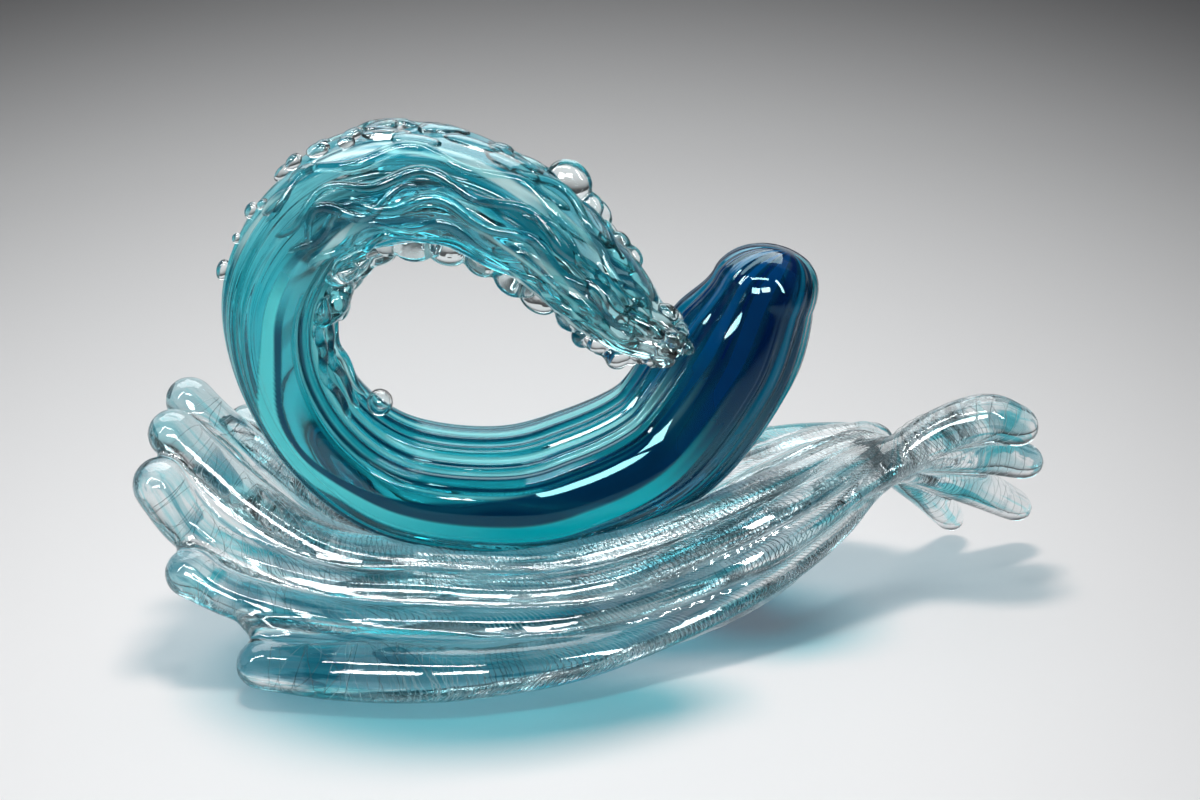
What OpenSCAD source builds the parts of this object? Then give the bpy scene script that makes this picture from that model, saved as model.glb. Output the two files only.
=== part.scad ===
// Hot-sculpted glass wave curling over a clear fluted cradle.
// +X runs to the right of the photographed view, +Y away from the viewer, +Z up.
// The origin is on the table, under the middle of the whole sculpture.

/* [Overall] */
// Overall length. The sizes below are for a length of 517, and follow it
sculpture_length = 517; // [440:1:580]

/* [Wave] */
// Half depth of the wave where it is widest, front to back
wave_half_depth = 46; // [38:1:50]
// Half thickness of the wave's lower arm, across the curl
wave_half_thickness = 38; // [32:1:40]
// Depth of the flutes that run along the wave
flute_depth = 2.6; // [1:0.2:3.4]
// Length of the rounded end of the blue arm
bulb_dome = 27; // [20:1:32]
// Share of the blue arm's section that the cobalt core fills
core_share = 0.6; // [0.4:0.02:0.7]

/* [Crest] */
// Height of the aqua strands laid over the crest
strand_height = 6; // [4:0.5:8]
// Half width of one strand, in degrees round the crest
strand_spread = 11; // [8:0.5:12]
// Radius of the larger foam beads
bead_r = 7; // [5:0.5:8]
// Radius of the clear bubble inside the curl
bubble_r = 8; // [6:0.5:9]

/* [Cradle] */
// Half height of the cradle's ribs
rib_half_height = 13; // [11:0.5:14]
// Half width of the cradle's ribs
rib_half_width = 18; // [17:0.5:20]
// Length of the rounded lobe at each rib's end
lobe_length = 15; // [10:1:20]

/* [Fit] */
// Clearance between pieces that were laid on each other
lay_gap = 0.3; // [0.1:0.05:0.4]
// Thickness of the bonding pads between the wave and the cradle
bond_t = 1; // [0.6:0.1:2]

/* [Hidden] */

// Everything but the clearances follows the overall length
size_k = sculpture_length / 517;
wave_t = wave_half_thickness * size_k;
wave_d = wave_half_depth * size_k;
rib_h = rib_half_height * size_k;
rib_w = rib_half_width * size_k;
lobe_l = lobe_length * size_k;
bead_big = bead_r * size_k;
strand_h = strand_height * size_k;

// Wave stations from the blue arm to the crest's tip:
// x, y, z, share of the thickness, share of the depth
WAVE = [
  [91, 48, 184, 0.80, 0.70], [75, 45, 146, 0.98, 0.84], [36, 36, 99, 1.04, 0.96],
  [-19, 24, 78, 1.00, 1.00], [-66, 14, 77.5, 0.90, 1.00], [-116, 7, 91, 0.84, 0.98],
  [-151, 2, 122, 0.78, 0.94], [-171, 0, 163, 0.77, 0.92], [-173, -2, 205, 0.80, 0.91],
  [-155, -4, 242, 0.78, 0.91], [-124, -8, 266, 0.73, 0.91], [-82, -12, 269, 0.70, 0.89],
  [-37, -17, 248, 0.64, 0.80], [-7, -22, 220, 0.50, 0.63], [19, -27, 196, 0.34, 0.42],
  [40, -32, 187, 0.20, 0.24]
];
// Flutes round the wave: angle from the curl's outer side, share of the depth, half width in degrees
FLUTES = [
  [-170, 1.0, 6], [-152, 1.1, 6], [-137, 1.1, 5], [-122, 0.8, 5], [-66, 0.7, 6], [-45, 1.0, 7],
  [-25, 0.7, 7], [5, 0.7, 8], [40, 0.8, 8], [75, 0.8, 8], [110, 0.9, 8], [145, 1.0, 8]
];
WAVE_STEPS = 48;
tip_dome = 6 * size_k;

// Cradle ribs from the left lobe to the right lobe:
// x, y, z, share of the half height, share of the half width
RIB_FRONT = [
  [-183, -78, 17, 0.95, 0.8], [-146, -81, 15, 1.2, 1], [-94, -84, 15, 1.22, 1.05],
  [-54, -79, 15, 1.1, 1], [-11, -66, 16, 0.95, 0.95], [33, -45, 21, 0.82, 0.85],
  [72, -24, 29, 0.72, 0.8], [107, 1, 38, 0.68, 0.74], [134, 26, 49, 0.68, 0.7],
  [157, 52, 64, 0.7, 0.68], [190, 62, 88, 1, 0.8], [221, 62, 100, 1.08, 0.85],
  [239, 64, 95, 0.85, 0.72]
];
RIB_SECOND = [
  [-224, -42, 54, 0.95, 0.85], [-197, -50, 42, 0.9, 0.8], [-148, -50, 30, 0.88, 0.85],
  [-95, -51, 28, 0.88, 0.9], [-38, -52, 28, 0.88, 0.9], [6, -43, 31, 0.85, 0.85],
  [44, -29, 38, 0.85, 0.8], [81, -12, 47, 0.8, 0.75], [112, 8, 57, 0.75, 0.72],
  [143, 34, 69, 0.72, 0.7], [177, 62, 78, 0.95, 0.8], [212, 72, 76, 1.1, 0.85],
  [246, 78, 66, 0.78, 0.62]
];
RIB_THIRD = [
  [-243, -17, 96, 1, 0.95], [-228, -18, 72, 1.05, 0.95], [-200, -23, 54, 0.95, 0.9],
  [-149, -31, 42, 0.88, 0.85], [-96, -36, 41, 0.88, 0.85], [-38, -39, 40, 0.88, 0.85],
  [6, -32, 44, 0.85, 0.85], [44, -18, 52, 0.85, 0.8], [81, -2, 62, 0.8, 0.75],
  [113, 16, 71, 0.75, 0.7], [146, 43, 79, 0.72, 0.7], [178, 70, 69, 1, 0.8], [212, 85, 50, 1, 0.75],
  [245, 96, 29, 0.68, 0.58]
];
RIB_FOURTH = [
  [-238, 14, 112, 0.95, 0.9], [-221, 8, 97, 1, 0.9], [-196, 0, 77, 1, 0.9], [-150, -14, 54, 0.95, 0.9],
  [-94, -20, 48, 0.95, 0.95], [-39, -22, 47, 0.95, 0.95], [6, -15, 53, 0.92, 0.9],
  [45, -3, 61, 0.88, 0.85], [82, 14, 71, 0.8, 0.8], [114, 32, 78, 0.75, 0.75],
  [147, 58, 81, 0.72, 0.7], [168, 79, 66, 0.95, 0.75], [190, 92, 43, 0.9, 0.68],
  [208, 104, 19, 0.66, 0.55]
];
RIB_SEAT = [
  [-233, 50, 116, 0.95, 0.8], [-206, 38, 94, 1.05, 0.95], [-166, 22, 58, 1.4, 1.1],
  [-120, 12, 29, 1.7, 1.35], [-66, 10, 22, 1.8, 1.4], [-10, 14, 22, 1.8, 1.4], [45, 24, 36, 1.6, 1.3],
  [95, 46, 58, 1.2, 1.1], [130, 64, 70, 1, 0.9], [156, 84, 70, 0.9, 0.7]
];
RIB_REAR = [
  [-204, 80, 86, 0.9, 0.8], [-165, 62, 58, 1.2, 1], [-120, 50, 31, 1.7, 1.1], [-66, 48, 22, 1.8, 1.2],
  [-10, 52, 24, 1.8, 1.2], [45, 62, 38, 1.6, 1.1], [95, 80, 55, 1.2, 0.95], [130, 92, 66, 1, 0.8],
  [156, 98, 68, 0.9, 0.7]
];
RIB_BACK = [
  [-190, 98, 80, 0.8, 0.7], [-150, 88, 62, 0.9, 0.85], [-100, 82, 46, 1, 0.9], [-55, 84, 42, 1, 0.95],
  [0, 88, 44, 1, 0.95], [50, 95, 52, 1, 0.9], [100, 104, 62, 0.9, 0.8], [140, 106, 66, 0.8, 0.7],
  [160, 100, 68, 0.8, 0.6]
];
RIBS = [RIB_FRONT, RIB_SECOND, RIB_THIRD, RIB_FOURTH, RIB_SEAT, RIB_REAR, RIB_BACK];
RIB_STEPS = 24;
RIB_SIDES = 14;

// The wave and the ribs keep their width along this direction
DEPTH = [0, 1, 0];
// The stations are written from the plane of the curl. This puts the middle of the footprint at y = 0.
FOOTPRINT_MIDDLE = [0, 8, 0];

function unit(v) = v / norm(v);

// Smooth curve through a list of stations, with u from 0 to 1
function spline(list, u) =
  let (n = len(list) - 1, s = min(max(u, 0), 0.999999) * n, i = floor(s), t = s - i,
       a = list[max(i - 1, 0)], b = list[i], c = list[i + 1], d = list[min(i + 2, n)])
  0.5 * (2 * b + (c - a) * t + (2 * a - 5 * b + 4 * c - d) * t * t + (3 * b - a - 3 * c + d) * t * t * t);
function point(s) = ([s.x, s.y, s.z] - FOOTPRINT_MIDDLE) * size_k;
function place(list, u) = point(spline(list, u));
function heading(list, u) = unit(place(list, min(u + 0.004, 1)) - place(list, max(u - 0.004, 0)));
// The two directions square to a path: across keeps to the depth, outward is square to both
function across(list, u) = let (t = heading(list, u)) unit(DEPTH - t * (DEPTH * t));
function outward(list, u) = cross(heading(list, u), across(list, u));

// Point of a swept section at angle a and share k of its radius, raised by h and moved along by shift
function swept(list, u, a, k, h, shift, thick, deep) =
  let (s = spline(list, u))
  point(s) + heading(list, u) * shift
  + outward(list, u) * ((s[3] * thick * k + h) * cos(a)) + across(list, u) * ((s[4] * deep * k + h) * sin(a));
// One ring through a profile of [angle, share] pairs
function ring(list, u, profile, k, shift, thick, deep) =
  [for (p = profile) swept(list, u, p[0], k * p[1], 0, shift, thick, deep)];
function round_profile(n) = [for (i = [0:n - 1]) [360 * i / n, 1]];

// Closed skin over a list of equal rings, with a pole at each end
module skin(rings, pole_a, pole_b) {
  n = len(rings[0]);
  m = len(rings);
  points = concat([pole_a], [for (r = rings) each r], [pole_b]);
  last = n * m + 1;
  faces = concat(
    [for (i = [0:n - 1]) [0, 1 + (i + 1) % n, 1 + i]],
    [for (j = [0:m - 2], i = [0:n - 1])
      let (a = 1 + j * n + i, b = 1 + j * n + (i + 1) % n)
      each [[a, b, b + n], [a, b + n, a + n]]],
    [for (i = [0:n - 1]) [last, last - n + i, last - n + (i + 1) % n]]
  );
  polyhedron(points = points, faces = faces, convexity = 8);
}

// Sweep along a list of stations, with a dome of the given length at each end
module swept_solid(list, steps, profile, thick, deep, dome_a, dome_b) {
  dome = [20, 42, 65];
  rings = concat(
    [for (d = dome) ring(list, 0, profile, sin(d), -dome_a * cos(d), thick, deep)],
    [for (j = [0:steps]) ring(list, j / steps, profile, 1, 0, thick, deep)],
    [for (i = [2:-1:0]) ring(list, 1, profile, sin(dome[i]), dome_b * cos(dome[i]), thick, deep)]
  );
  skin(rings, place(list, 0) - heading(list, 0) * dome_a,
       place(list, 1) + heading(list, 1) * dome_b);
}

// Fluted outline: each flute's bottom and shoulders, then the rib that follows it
function fluted_profile(depth) =
  [for (i = [0:len(FLUTES) - 1])
    let (f = FLUTES[i], next = FLUTES[(i + 1) % len(FLUTES)],
         crown = (f[0] + f[2] + next[0] - next[2] + (next[0] < f[0] ? 360 : 0)) / 2)
    each [[f[0] - f[2], 1], [f[0], 1 - depth * f[1]], [f[0] + f[2], 1], [crown, 1]]];

module wave_shape(grow) {
  profile = fluted_profile(flute_depth * size_k / (wave_t + grow));
  swept_solid(WAVE, WAVE_STEPS, profile, wave_t + grow, wave_d + grow, bulb_dome * size_k + grow, tip_dome + grow);
}

// Point on the wave's skin at height h over it, and the direction straight out of it
function wave_point(u, a, h) = swept(WAVE, u, a, 1, h, 0, wave_t, wave_d);
function wave_normal(u, a) =
  let (s = spline(WAVE, u))
  unit(outward(WAVE, u) * (cos(a) / (s[3] * wave_t)) + across(WAVE, u) * (sin(a) / (s[4] * wave_d)));

// Strand laid on the wave: it follows the skin underneath and is rounded on top
function sway(u, swing) = swing * sin(2600 * u);
module strand(from, to, angle, spread, height, swing, steps) {
  cells = 4;
  rings = [for (j = [0:steps])
    let (s = j / steps, u = from + (to - from) * s, a = angle + sway(u, swing),
         w = spread * (0.35 + 0.65 * sin(180 * s)), h = height * (0.3 + 0.7 * sin(180 * s)))
    concat(
      [for (i = [cells:-1:0]) wave_point(u, a + w * (2 * i / cells - 1), lay_gap)],
      [for (i = [1:cells - 1]) wave_point(u, a + w * (2 * i / cells - 1), lay_gap + h * sin(180 * i / cells))]
    )];
  skin(rings, wave_point(from - 0.006, angle + sway(from, swing), lay_gap + height / 8),
       wave_point(to + 0.006, angle + sway(to, swing), lay_gap + height / 8));
}

// Glass bead laid on the wave, r across and flat * r high
module bead(u, a, r, flat) {
  n = wave_normal(u, a);
  translate(wave_point(u, a, 0) + n * (lay_gap + r * flat))
    rotate([0, acos(n.z), atan2(n.y, n.x)])
      rotate_extrude($fn = 24)
        polygon([for (i = [0:8]) [r * sin(22.5 * i), -r * flat * cos(22.5 * i)]]);
}

module wave_body() {
  color("darkcyan")
    difference() {
      wave_shape(0);
      core_shape(lay_gap);
    }
}

// Cobalt gather cased inside the blue arm: a round head that thins to a tail along the arm
CORE_TAIL = 0.24;
CORE_STEPS = 12;
function core_swell(s) = s < 0.2 ? sqrt(1 - pow(1 - s / 0.2, 2) * 0.75) : pow(cos(90 * (s - 0.2) / 0.8), 0.8);
module core_shape(grow) {
  profile = round_profile(16);
  rings = [for (j = [0:CORE_STEPS - 1])
    let (s = j / CORE_STEPS, k = core_share * core_swell(s))
    ring(WAVE, CORE_TAIL * s, profile, 1, 0, wave_t * k + grow, wave_d * k + grow)];
  skin(rings, place(WAVE, 0) - heading(WAVE, 0) * (wave_t * core_share * 0.4 + grow),
       place(WAVE, CORE_TAIL) + heading(WAVE, CORE_TAIL) * grow);
}
module wave_core() { color("midnightblue") core_shape(0); }

// One rib of the cradle, with a swollen lobe at each end
module rib(list) {
  swept_solid(list, RIB_STEPS, round_profile(RIB_SIDES), rib_h, rib_w, 0.8 * lobe_l, 0.8 * lobe_l);
  lobe(list, 0);
  lobe(list, 1);
}
LOBE_SWELL = 1.07;
module lobe(list, end) {
  profile = round_profile(12);
  way = end == 0 ? -1 : 1;
  thick = LOBE_SWELL * rib_h;
  deep = LOBE_SWELL * rib_w;
  inside = [for (j = [2:-1:0]) ring(list, abs(end - 0.02 * j), profile, 1, 0, thick, deep)];
  outside = [for (d = [62, 34]) ring(list, end, profile, sin(d), way * lobe_l * cos(d), thick, deep)];
  hull()
    skin(concat(inside, outside), place(list, abs(end - 0.05)),
         place(list, end) + heading(list, end) * (way * lobe_l));
}

module base_body() {
  color("azure")
    difference() {
      union() {
        for (r = RIBS) rib(r);
      }
      wave_shape(bond_t + 2 * lay_gap);
      translate([-sculpture_length, -sculpture_length, -100])
        cube([2 * sculpture_length, 2 * sculpture_length, 100]);
    }
}

// Thin clear pads that bond the wave into its seat, on the crown between two flutes
BOND_PADS_AT = [0.15, 0.22, 0.29];
BOND_CROWN = 22.5;
module seat_bond() {
  color("whitesmoke")
    for (u = BOND_PADS_AT) strand(u - 0.012, u + 0.012, BOND_CROWN, 7, bond_t, 0, 4);
}

// The first strand's angle round the wave, and the step to the next
STRAND_FIRST = -134;
STRAND_PITCH = 25;
STRAND_SWING = 6;
module crest_strand(i) {
  color("paleturquoise")
    strand(0.60 + 0.02 * (i % 2), 0.94 - 0.015 * i, STRAND_FIRST + STRAND_PITCH * i,
           strand_spread, strand_h, STRAND_SWING, 26);
}
module crest_strand_1() { crest_strand(0); }
module crest_strand_2() { crest_strand(1); }
module crest_strand_3() { crest_strand(2); }
module crest_strand_4() { crest_strand(3); }
module crest_strand_5() { crest_strand(4); }

module drip_strands() {
  color("lightcyan")
    for (i = [0:2]) strand(0.40 + 0.03 * i, 0.56 + 0.01 * i, -170 + 16 * i, 6, 0.8 * strand_h, 3, 12);
}

module curl_bubble() { color("aliceblue") bead(0.395, -168, bubble_r * size_k, 0.8); }

module crest_tip() {
  color("lightcyan") bead(0.985, -60, bead_big, 0.9);
}
module foam_back() {
  color("aliceblue")
    for (i = [0:6]) bead(0.79 + 0.021 * i, 26 + 28 * (i % 2), bead_big * (1 - 0.08 * i), 0.8);
}
module foam_inner() {
  color("aliceblue")
    for (i = [0:11]) bead(0.60 + 0.024 * i, 186 - 20 * (i % 2), bead_big * (1 - 0.2 * (i % 3)), 0.75);
}
module foam_outer() {
  color("aliceblue")
    for (i = [0:7]) bead(0.54 + 0.022 * i, -6 - 9 * (i % 2), bead_big * (0.7 - 0.14 * (i % 3)), 0.7);
}
module foam_tip() {
  color("aliceblue")
    for (i = [0:4]) bead(0.925 + 0.012 * i, 60 * i, 0.65 * bead_big, 0.8);
}

base_body();
seat_bond();
wave_body();
wave_core();
crest_tip();
drip_strands();
curl_bubble();
crest_strand_1();
crest_strand_2();
crest_strand_3();
crest_strand_4();
crest_strand_5();
foam_back();
foam_inner();
foam_outer();
foam_tip();
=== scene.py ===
import math

import bpy
import bmesh
import numpy as np
from mathutils import Matrix, Vector


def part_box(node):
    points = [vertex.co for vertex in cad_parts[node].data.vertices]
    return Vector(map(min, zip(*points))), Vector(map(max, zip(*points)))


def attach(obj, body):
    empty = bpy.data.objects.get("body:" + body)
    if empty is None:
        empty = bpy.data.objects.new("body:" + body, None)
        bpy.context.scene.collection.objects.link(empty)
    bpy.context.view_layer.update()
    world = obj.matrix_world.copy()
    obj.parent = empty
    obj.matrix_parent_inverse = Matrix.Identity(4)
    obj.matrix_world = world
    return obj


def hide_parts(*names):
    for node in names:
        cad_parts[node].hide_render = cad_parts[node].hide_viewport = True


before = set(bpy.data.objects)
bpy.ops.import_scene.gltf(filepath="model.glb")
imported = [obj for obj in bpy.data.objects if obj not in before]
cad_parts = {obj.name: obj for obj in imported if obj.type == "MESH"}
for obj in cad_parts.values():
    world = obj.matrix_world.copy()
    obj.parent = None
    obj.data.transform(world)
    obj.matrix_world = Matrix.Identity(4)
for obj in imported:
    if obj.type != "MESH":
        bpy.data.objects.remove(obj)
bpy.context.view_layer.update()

bl_info = {
    "name": "Glass wave sculpture",
    "version": (1, 0, 0),
    "blender": (4, 5, 0),
    "location": "View3D > Sidebar > Glass wave",
    "description": "Dresses the packed glass wave: the curl, its crest and foam, and the fluted cradle",
    "category": "Object",
}

MM = 0.001
ROOT = "root"

# The curl's stations, as in the part's source: x, y, z in mm, share of the thickness, share of the depth
WAVE = np.array([
    [91, 48, 184, 0.80, 0.70], [75, 45, 146, 0.98, 0.84], [36, 36, 99, 1.04, 0.96],
    [-19, 24, 78, 1.00, 1.00], [-66, 14, 77.5, 0.90, 1.00], [-116, 7, 91, 0.84, 0.98],
    [-151, 2, 122, 0.78, 0.94], [-171, 0, 163, 0.77, 0.92], [-173, -2, 205, 0.80, 0.91],
    [-155, -4, 242, 0.78, 0.91], [-124, -8, 266, 0.73, 0.91], [-82, -12, 269, 0.70, 0.89],
    [-37, -17, 248, 0.64, 0.80], [-7, -22, 220, 0.50, 0.63], [19, -27, 196, 0.34, 0.42],
    [40, -32, 187, 0.20, 0.24],
])
# The cradle's ribs from the left lobe to the right lobe, in the same units
RIBS = {
    "front": [
        [-183, -78, 17, 0.95, 0.8], [-146, -81, 15, 1.2, 1], [-94, -84, 15, 1.22, 1.05],
        [-54, -79, 15, 1.1, 1], [-11, -66, 16, 0.95, 0.95], [33, -45, 21, 0.82, 0.85],
        [72, -24, 29, 0.72, 0.8], [107, 1, 38, 0.68, 0.74], [134, 26, 49, 0.68, 0.7],
        [157, 52, 64, 0.7, 0.68], [190, 62, 88, 1, 0.8], [221, 62, 100, 1.08, 0.85],
        [239, 64, 95, 0.85, 0.72]],
    "second": [
        [-224, -42, 54, 0.95, 0.85], [-197, -50, 42, 0.9, 0.8], [-148, -50, 30, 0.88, 0.85],
        [-95, -51, 28, 0.88, 0.9], [-38, -52, 28, 0.88, 0.9], [6, -43, 31, 0.85, 0.85],
        [44, -29, 38, 0.85, 0.8], [81, -12, 47, 0.8, 0.75], [112, 8, 57, 0.75, 0.72],
        [143, 34, 69, 0.72, 0.7], [177, 62, 78, 0.95, 0.8], [212, 72, 76, 1.1, 0.85],
        [246, 78, 66, 0.78, 0.62]],
    "third": [
        [-243, -17, 96, 1, 0.95], [-228, -18, 72, 1.05, 0.95], [-200, -23, 54, 0.95, 0.9],
        [-149, -31, 42, 0.88, 0.85], [-96, -36, 41, 0.88, 0.85], [-38, -39, 40, 0.88, 0.85],
        [6, -32, 44, 0.85, 0.85], [44, -18, 52, 0.85, 0.8], [81, -2, 62, 0.8, 0.75],
        [113, 16, 71, 0.75, 0.7], [146, 43, 79, 0.72, 0.7], [178, 70, 69, 1, 0.8], [212, 85, 50, 1, 0.75],
        [245, 96, 29, 0.68, 0.58]],
    "fourth": [
        [-238, 14, 112, 0.95, 0.9], [-221, 8, 97, 1, 0.9], [-196, 0, 77, 1, 0.9],
        [-150, -14, 54, 0.95, 0.9], [-94, -20, 48, 0.95, 0.95], [-39, -22, 47, 0.95, 0.95],
        [6, -15, 53, 0.92, 0.9], [45, -3, 61, 0.88, 0.85], [82, 14, 71, 0.8, 0.8],
        [114, 32, 78, 0.75, 0.75], [147, 58, 81, 0.72, 0.7], [168, 79, 66, 0.95, 0.75],
        [190, 92, 43, 0.9, 0.68], [208, 104, 19, 0.66, 0.55]],
    "seat": [
        [-233, 50, 116, 0.95, 0.8], [-206, 38, 94, 1.05, 0.95], [-166, 22, 58, 1.4, 1.1],
        [-120, 12, 29, 1.7, 1.35], [-66, 10, 22, 1.8, 1.4], [-10, 14, 22, 1.8, 1.4],
        [45, 24, 36, 1.6, 1.3], [95, 46, 58, 1.2, 1.1], [130, 64, 70, 1, 0.9], [156, 84, 70, 0.9, 0.7]],
    "rear": [
        [-204, 80, 86, 0.9, 0.8], [-165, 62, 58, 1.2, 1], [-120, 50, 31, 1.7, 1.1],
        [-66, 48, 22, 1.8, 1.2], [-10, 52, 24, 1.8, 1.2], [45, 62, 38, 1.6, 1.1], [95, 80, 55, 1.2, 0.95],
        [130, 92, 66, 1, 0.8], [156, 98, 68, 0.9, 0.7]],
    "back": [
        [-190, 98, 80, 0.8, 0.7], [-150, 88, 62, 0.9, 0.85], [-100, 82, 46, 1, 0.9],
        [-55, 84, 42, 1, 0.95], [0, 88, 44, 1, 0.95], [50, 95, 52, 1, 0.9], [100, 104, 62, 0.9, 0.8],
        [140, 106, 66, 0.8, 0.7], [160, 100, 68, 0.8, 0.6]],
}
# The stations are written from the plane of the curl, the frame from under the middle of the footprint
FOOTPRINT_MIDDLE = np.array([0.0, 8.0, 0.0])
# Flutes of the curl: angle from its outer side in degrees, share of the depth, width in degrees
FLUTES = [
    (-170, 1.0, 6), (-152, 1.1, 6), (-137, 1.1, 5), (-122, 0.8, 5), (-66, 0.7, 6), (-45, 1.0, 7),
    (-25, 0.7, 7), (5, 0.6, 9), (40, 0.5, 11), (75, 0.5, 11), (110, 0.55, 11), (145, 0.8, 9),
]
# Fine lines drawn out beside the flutes: angle, depth as a share of a flute, width in degrees
FINE_LINES = [
    (-188, 0.5, 3), (-179, 0.4, 2.5), (-161, 0.45, 2.5), (-144, 0.35, 2), (-129, 0.3, 2), (-74, 0.25, 2),
    (-56, 0.35, 2.5), (-35, 0.4, 2.5), (-14, 0.35, 3), (22, 0.4, 3), (58, 0.4, 3), (93, 0.4, 3),
    (128, 0.5, 3),
]
# Bands of colour drawn out along the arm: angle, half width in degrees, colour, share. They are partly the
# glass's colour and partly painted light and shade: the light bands stand in for the bright floor seen
# through the flutes, the dark ones for dark lines refracted from the studio
LIGHT, MIDDLE, DARK = (0.30, 0.86, 0.88), (0.01, 0.38, 0.46), (0.0, 0.03, 0.08)
BANDS = [
    (-16, 1.8, MIDDLE, 0.6), (-24, 2.4, DARK, 0.7), (-32, 2.0, LIGHT, 0.45), (-38, 2.2, DARK, 0.8),
    (-46, 2.6, MIDDLE, 0.6), (-53, 1.8, DARK, 0.85), (-58, 2.0, MIDDLE, 0.7), (-111, 2.6, MIDDLE, 0.6),
    (-116, 2.0, LIGHT, 0.6), (-121, 2.6, DARK, 0.92), (-128, 2.8, MIDDLE, 0.55), (-134, 2.4, DARK, 0.92),
    (-140, 2.8, LIGHT, 0.7), (-146, 1.9, DARK, 0.92), (-151, 2.8, LIGHT, 0.75), (-157, 2.2, MIDDLE, 0.5),
    (-163, 2.6, DARK, 0.95), (-170, 3.2, MIDDLE, 0.55), (-177, 2.2, DARK, 0.85), (-184, 3.4, LIGHT, 0.6),
    (-191, 2.2, DARK, 0.85), (-199, 3.2, MIDDLE, 0.5), (-206, 2.2, DARK, 0.7), (35, 2.5, MIDDLE, 0.4),
    (70, 2.5, DARK, 0.4), (105, 3.0, MIDDLE, 0.4),
]
# The same on the blue arm, also partly colour and partly painted light and shade; the teal bands near its
# outer side stand in for teal reflections
BLUE_BANDS = [
    (-6, 4.0, (0.02, 0.42, 0.52), 0.7), (-28, 8.0, (0.0, 0.36, 0.48), 0.75), (-48, 2.5, DARK, 0.8),
    (-58, 5.0, (0.0, 0.20, 0.36), 0.7), (-76, 7.0, (0.0, 0.016, 0.09), 0.8),
    (-97, 7.0, (0.0, 0.07, 0.26), 0.6), (-112, 4.0, (0.0, 0.02, 0.11), 0.8),
    (-126, 5.0, (0.0, 0.11, 0.36), 0.6), (-138, 2.5, (0.0, 0.014, 0.08), 0.85),
    (-148, 5.0, (0.0, 0.17, 0.42), 0.6), (-160, 3.0, (0.0, 0.03, 0.13), 0.85),
    (-170, 4.0, (0.0, 0.25, 0.44), 0.6), (-182, 3.0, DARK, 0.8), (-196, 4.0, (0.0, 0.22, 0.38), 0.6),
]
# Where the crest starts along the curl, as a share of its length
CREST_FROM = 0.585
# Voxel and smoothing passes that fuse the foam's beads
FOAM_VOXEL, FOAM_FLOW = 0.9 * MM, 3
# Usual distance between the middle lines of two ribs, in mm
RIB_PITCH = 26.0
# Smoothing passes that let the fused ribs flow
CRADLE_FLOW = 8
SEED = 41


# Properties

def length_prop(name, description, size):
    return bpy.props.FloatProperty(name=name, description=description, default=size * MM, unit="LENGTH")


def colour_prop(name, description, shade):
    return bpy.props.FloatVectorProperty(
        name=name, description=description, default=shade, size=3, subtype="COLOR")


def power_prop(name, description, watts):
    return bpy.props.FloatProperty(name=name, description=description, default=watts, unit="POWER")


class WaveSizes(bpy.types.PropertyGroup):
    """Sizes of the teal curl and what lies on it"""
    half_thickness: length_prop("Half thickness", "Half thickness of the lower arm, across the curl", 38)
    half_depth: length_prop("Half depth", "Half depth of the curl, front to back", 46)
    flute_depth: length_prop("Flute depth", "Depth of the flutes along the curl", 2.6)
    bulb_dome: length_prop("Bulb dome", "Length of the rounded end of the blue arm", 27)
    strand_height: length_prop("Strand height", "Greatest height of the strands fused over the crest", 7.2)
    strand_count: bpy.props.IntProperty(
        name="Strands", description="Number of strands fused over the crest", default=42)
    core_share: bpy.props.FloatProperty(
        name="Core share", description="Share of the blue arm that the cobalt core fills",
        default=0.6, subtype="FACTOR")


class CradleSizes(bpy.types.PropertyGroup):
    """Sizes of the clear cradle"""
    half_height: length_prop("Rib half height", "Half height of the ribs", 13)
    half_width: length_prop("Rib half width", "Half width of the ribs", 17.7)
    lobe: length_prop("Lobe length", "Length of the rounded lobe at each rib's end", 14.5)
    seat_gap: length_prop("Seat gap", "Room between the curl and its seat", 1.6)
    melt: length_prop("Melt", "Voxel size at which the ribs are fused into one body", 2.0)
    thread_spacing: length_prop("Thread spacing", "Distance between turns of the fine thread", 3.0)
    thread_radius: length_prop("Thread radius", "Radius of the fine thread", 0.17)


class GlassColours(bpy.types.PropertyGroup):
    """What one pass through each glass lets through"""
    navy: colour_prop("Navy", "Blue arm", (0.012, 0.11, 0.28))
    teal: colour_prop("Teal", "Lower arm and left bend", (0.06, 0.66, 0.74))
    aqua: colour_prop("Aqua", "Crest", (0.50, 0.89, 0.92))
    clear: colour_prop("Clear", "Foam and the crest's tip", (0.95, 0.985, 0.985))
    cradle: colour_prop("Cradle", "Clear cradle", (0.965, 0.985, 0.99))
    thread: colour_prop("Thread", "Fine thread in the cradle", (0.72, 0.76, 0.77))
    floor: colour_prop("Floor", "Floor round the object", (0.93, 0.937, 0.945))


class StudioSizes(bpy.types.PropertyGroup):
    """Camera and lights"""
    elevation: bpy.props.FloatProperty(
        name="Elevation", description="Angle at which the camera looks down",
        default=math.radians(24), subtype="ANGLE")
    distance: length_prop("Distance", "From the camera to the middle of the object", 1558)
    aim_height: length_prop("Aim height", "Height that the camera looks at", 139)
    lens: bpy.props.FloatProperty(name="Lens", description="Focal length in millimetres", default=85.0)
    key: power_prop("Key", "Power of the light above and behind", 47.0)
    glint: power_prop("Glint", "Power of the lights that only the glass mirrors", 60.0)
    fill: bpy.props.FloatProperty(name="Fill", description="Strength of the world", default=1.0)


# Shader nodes written as arithmetic

def operator(operation, swapped=False):
    """What a Value does for one sign of arithmetic"""
    def combined(self, other):
        return self._with(operation, other, self) if swapped else self._with(operation, self, other)
    return combined


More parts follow.
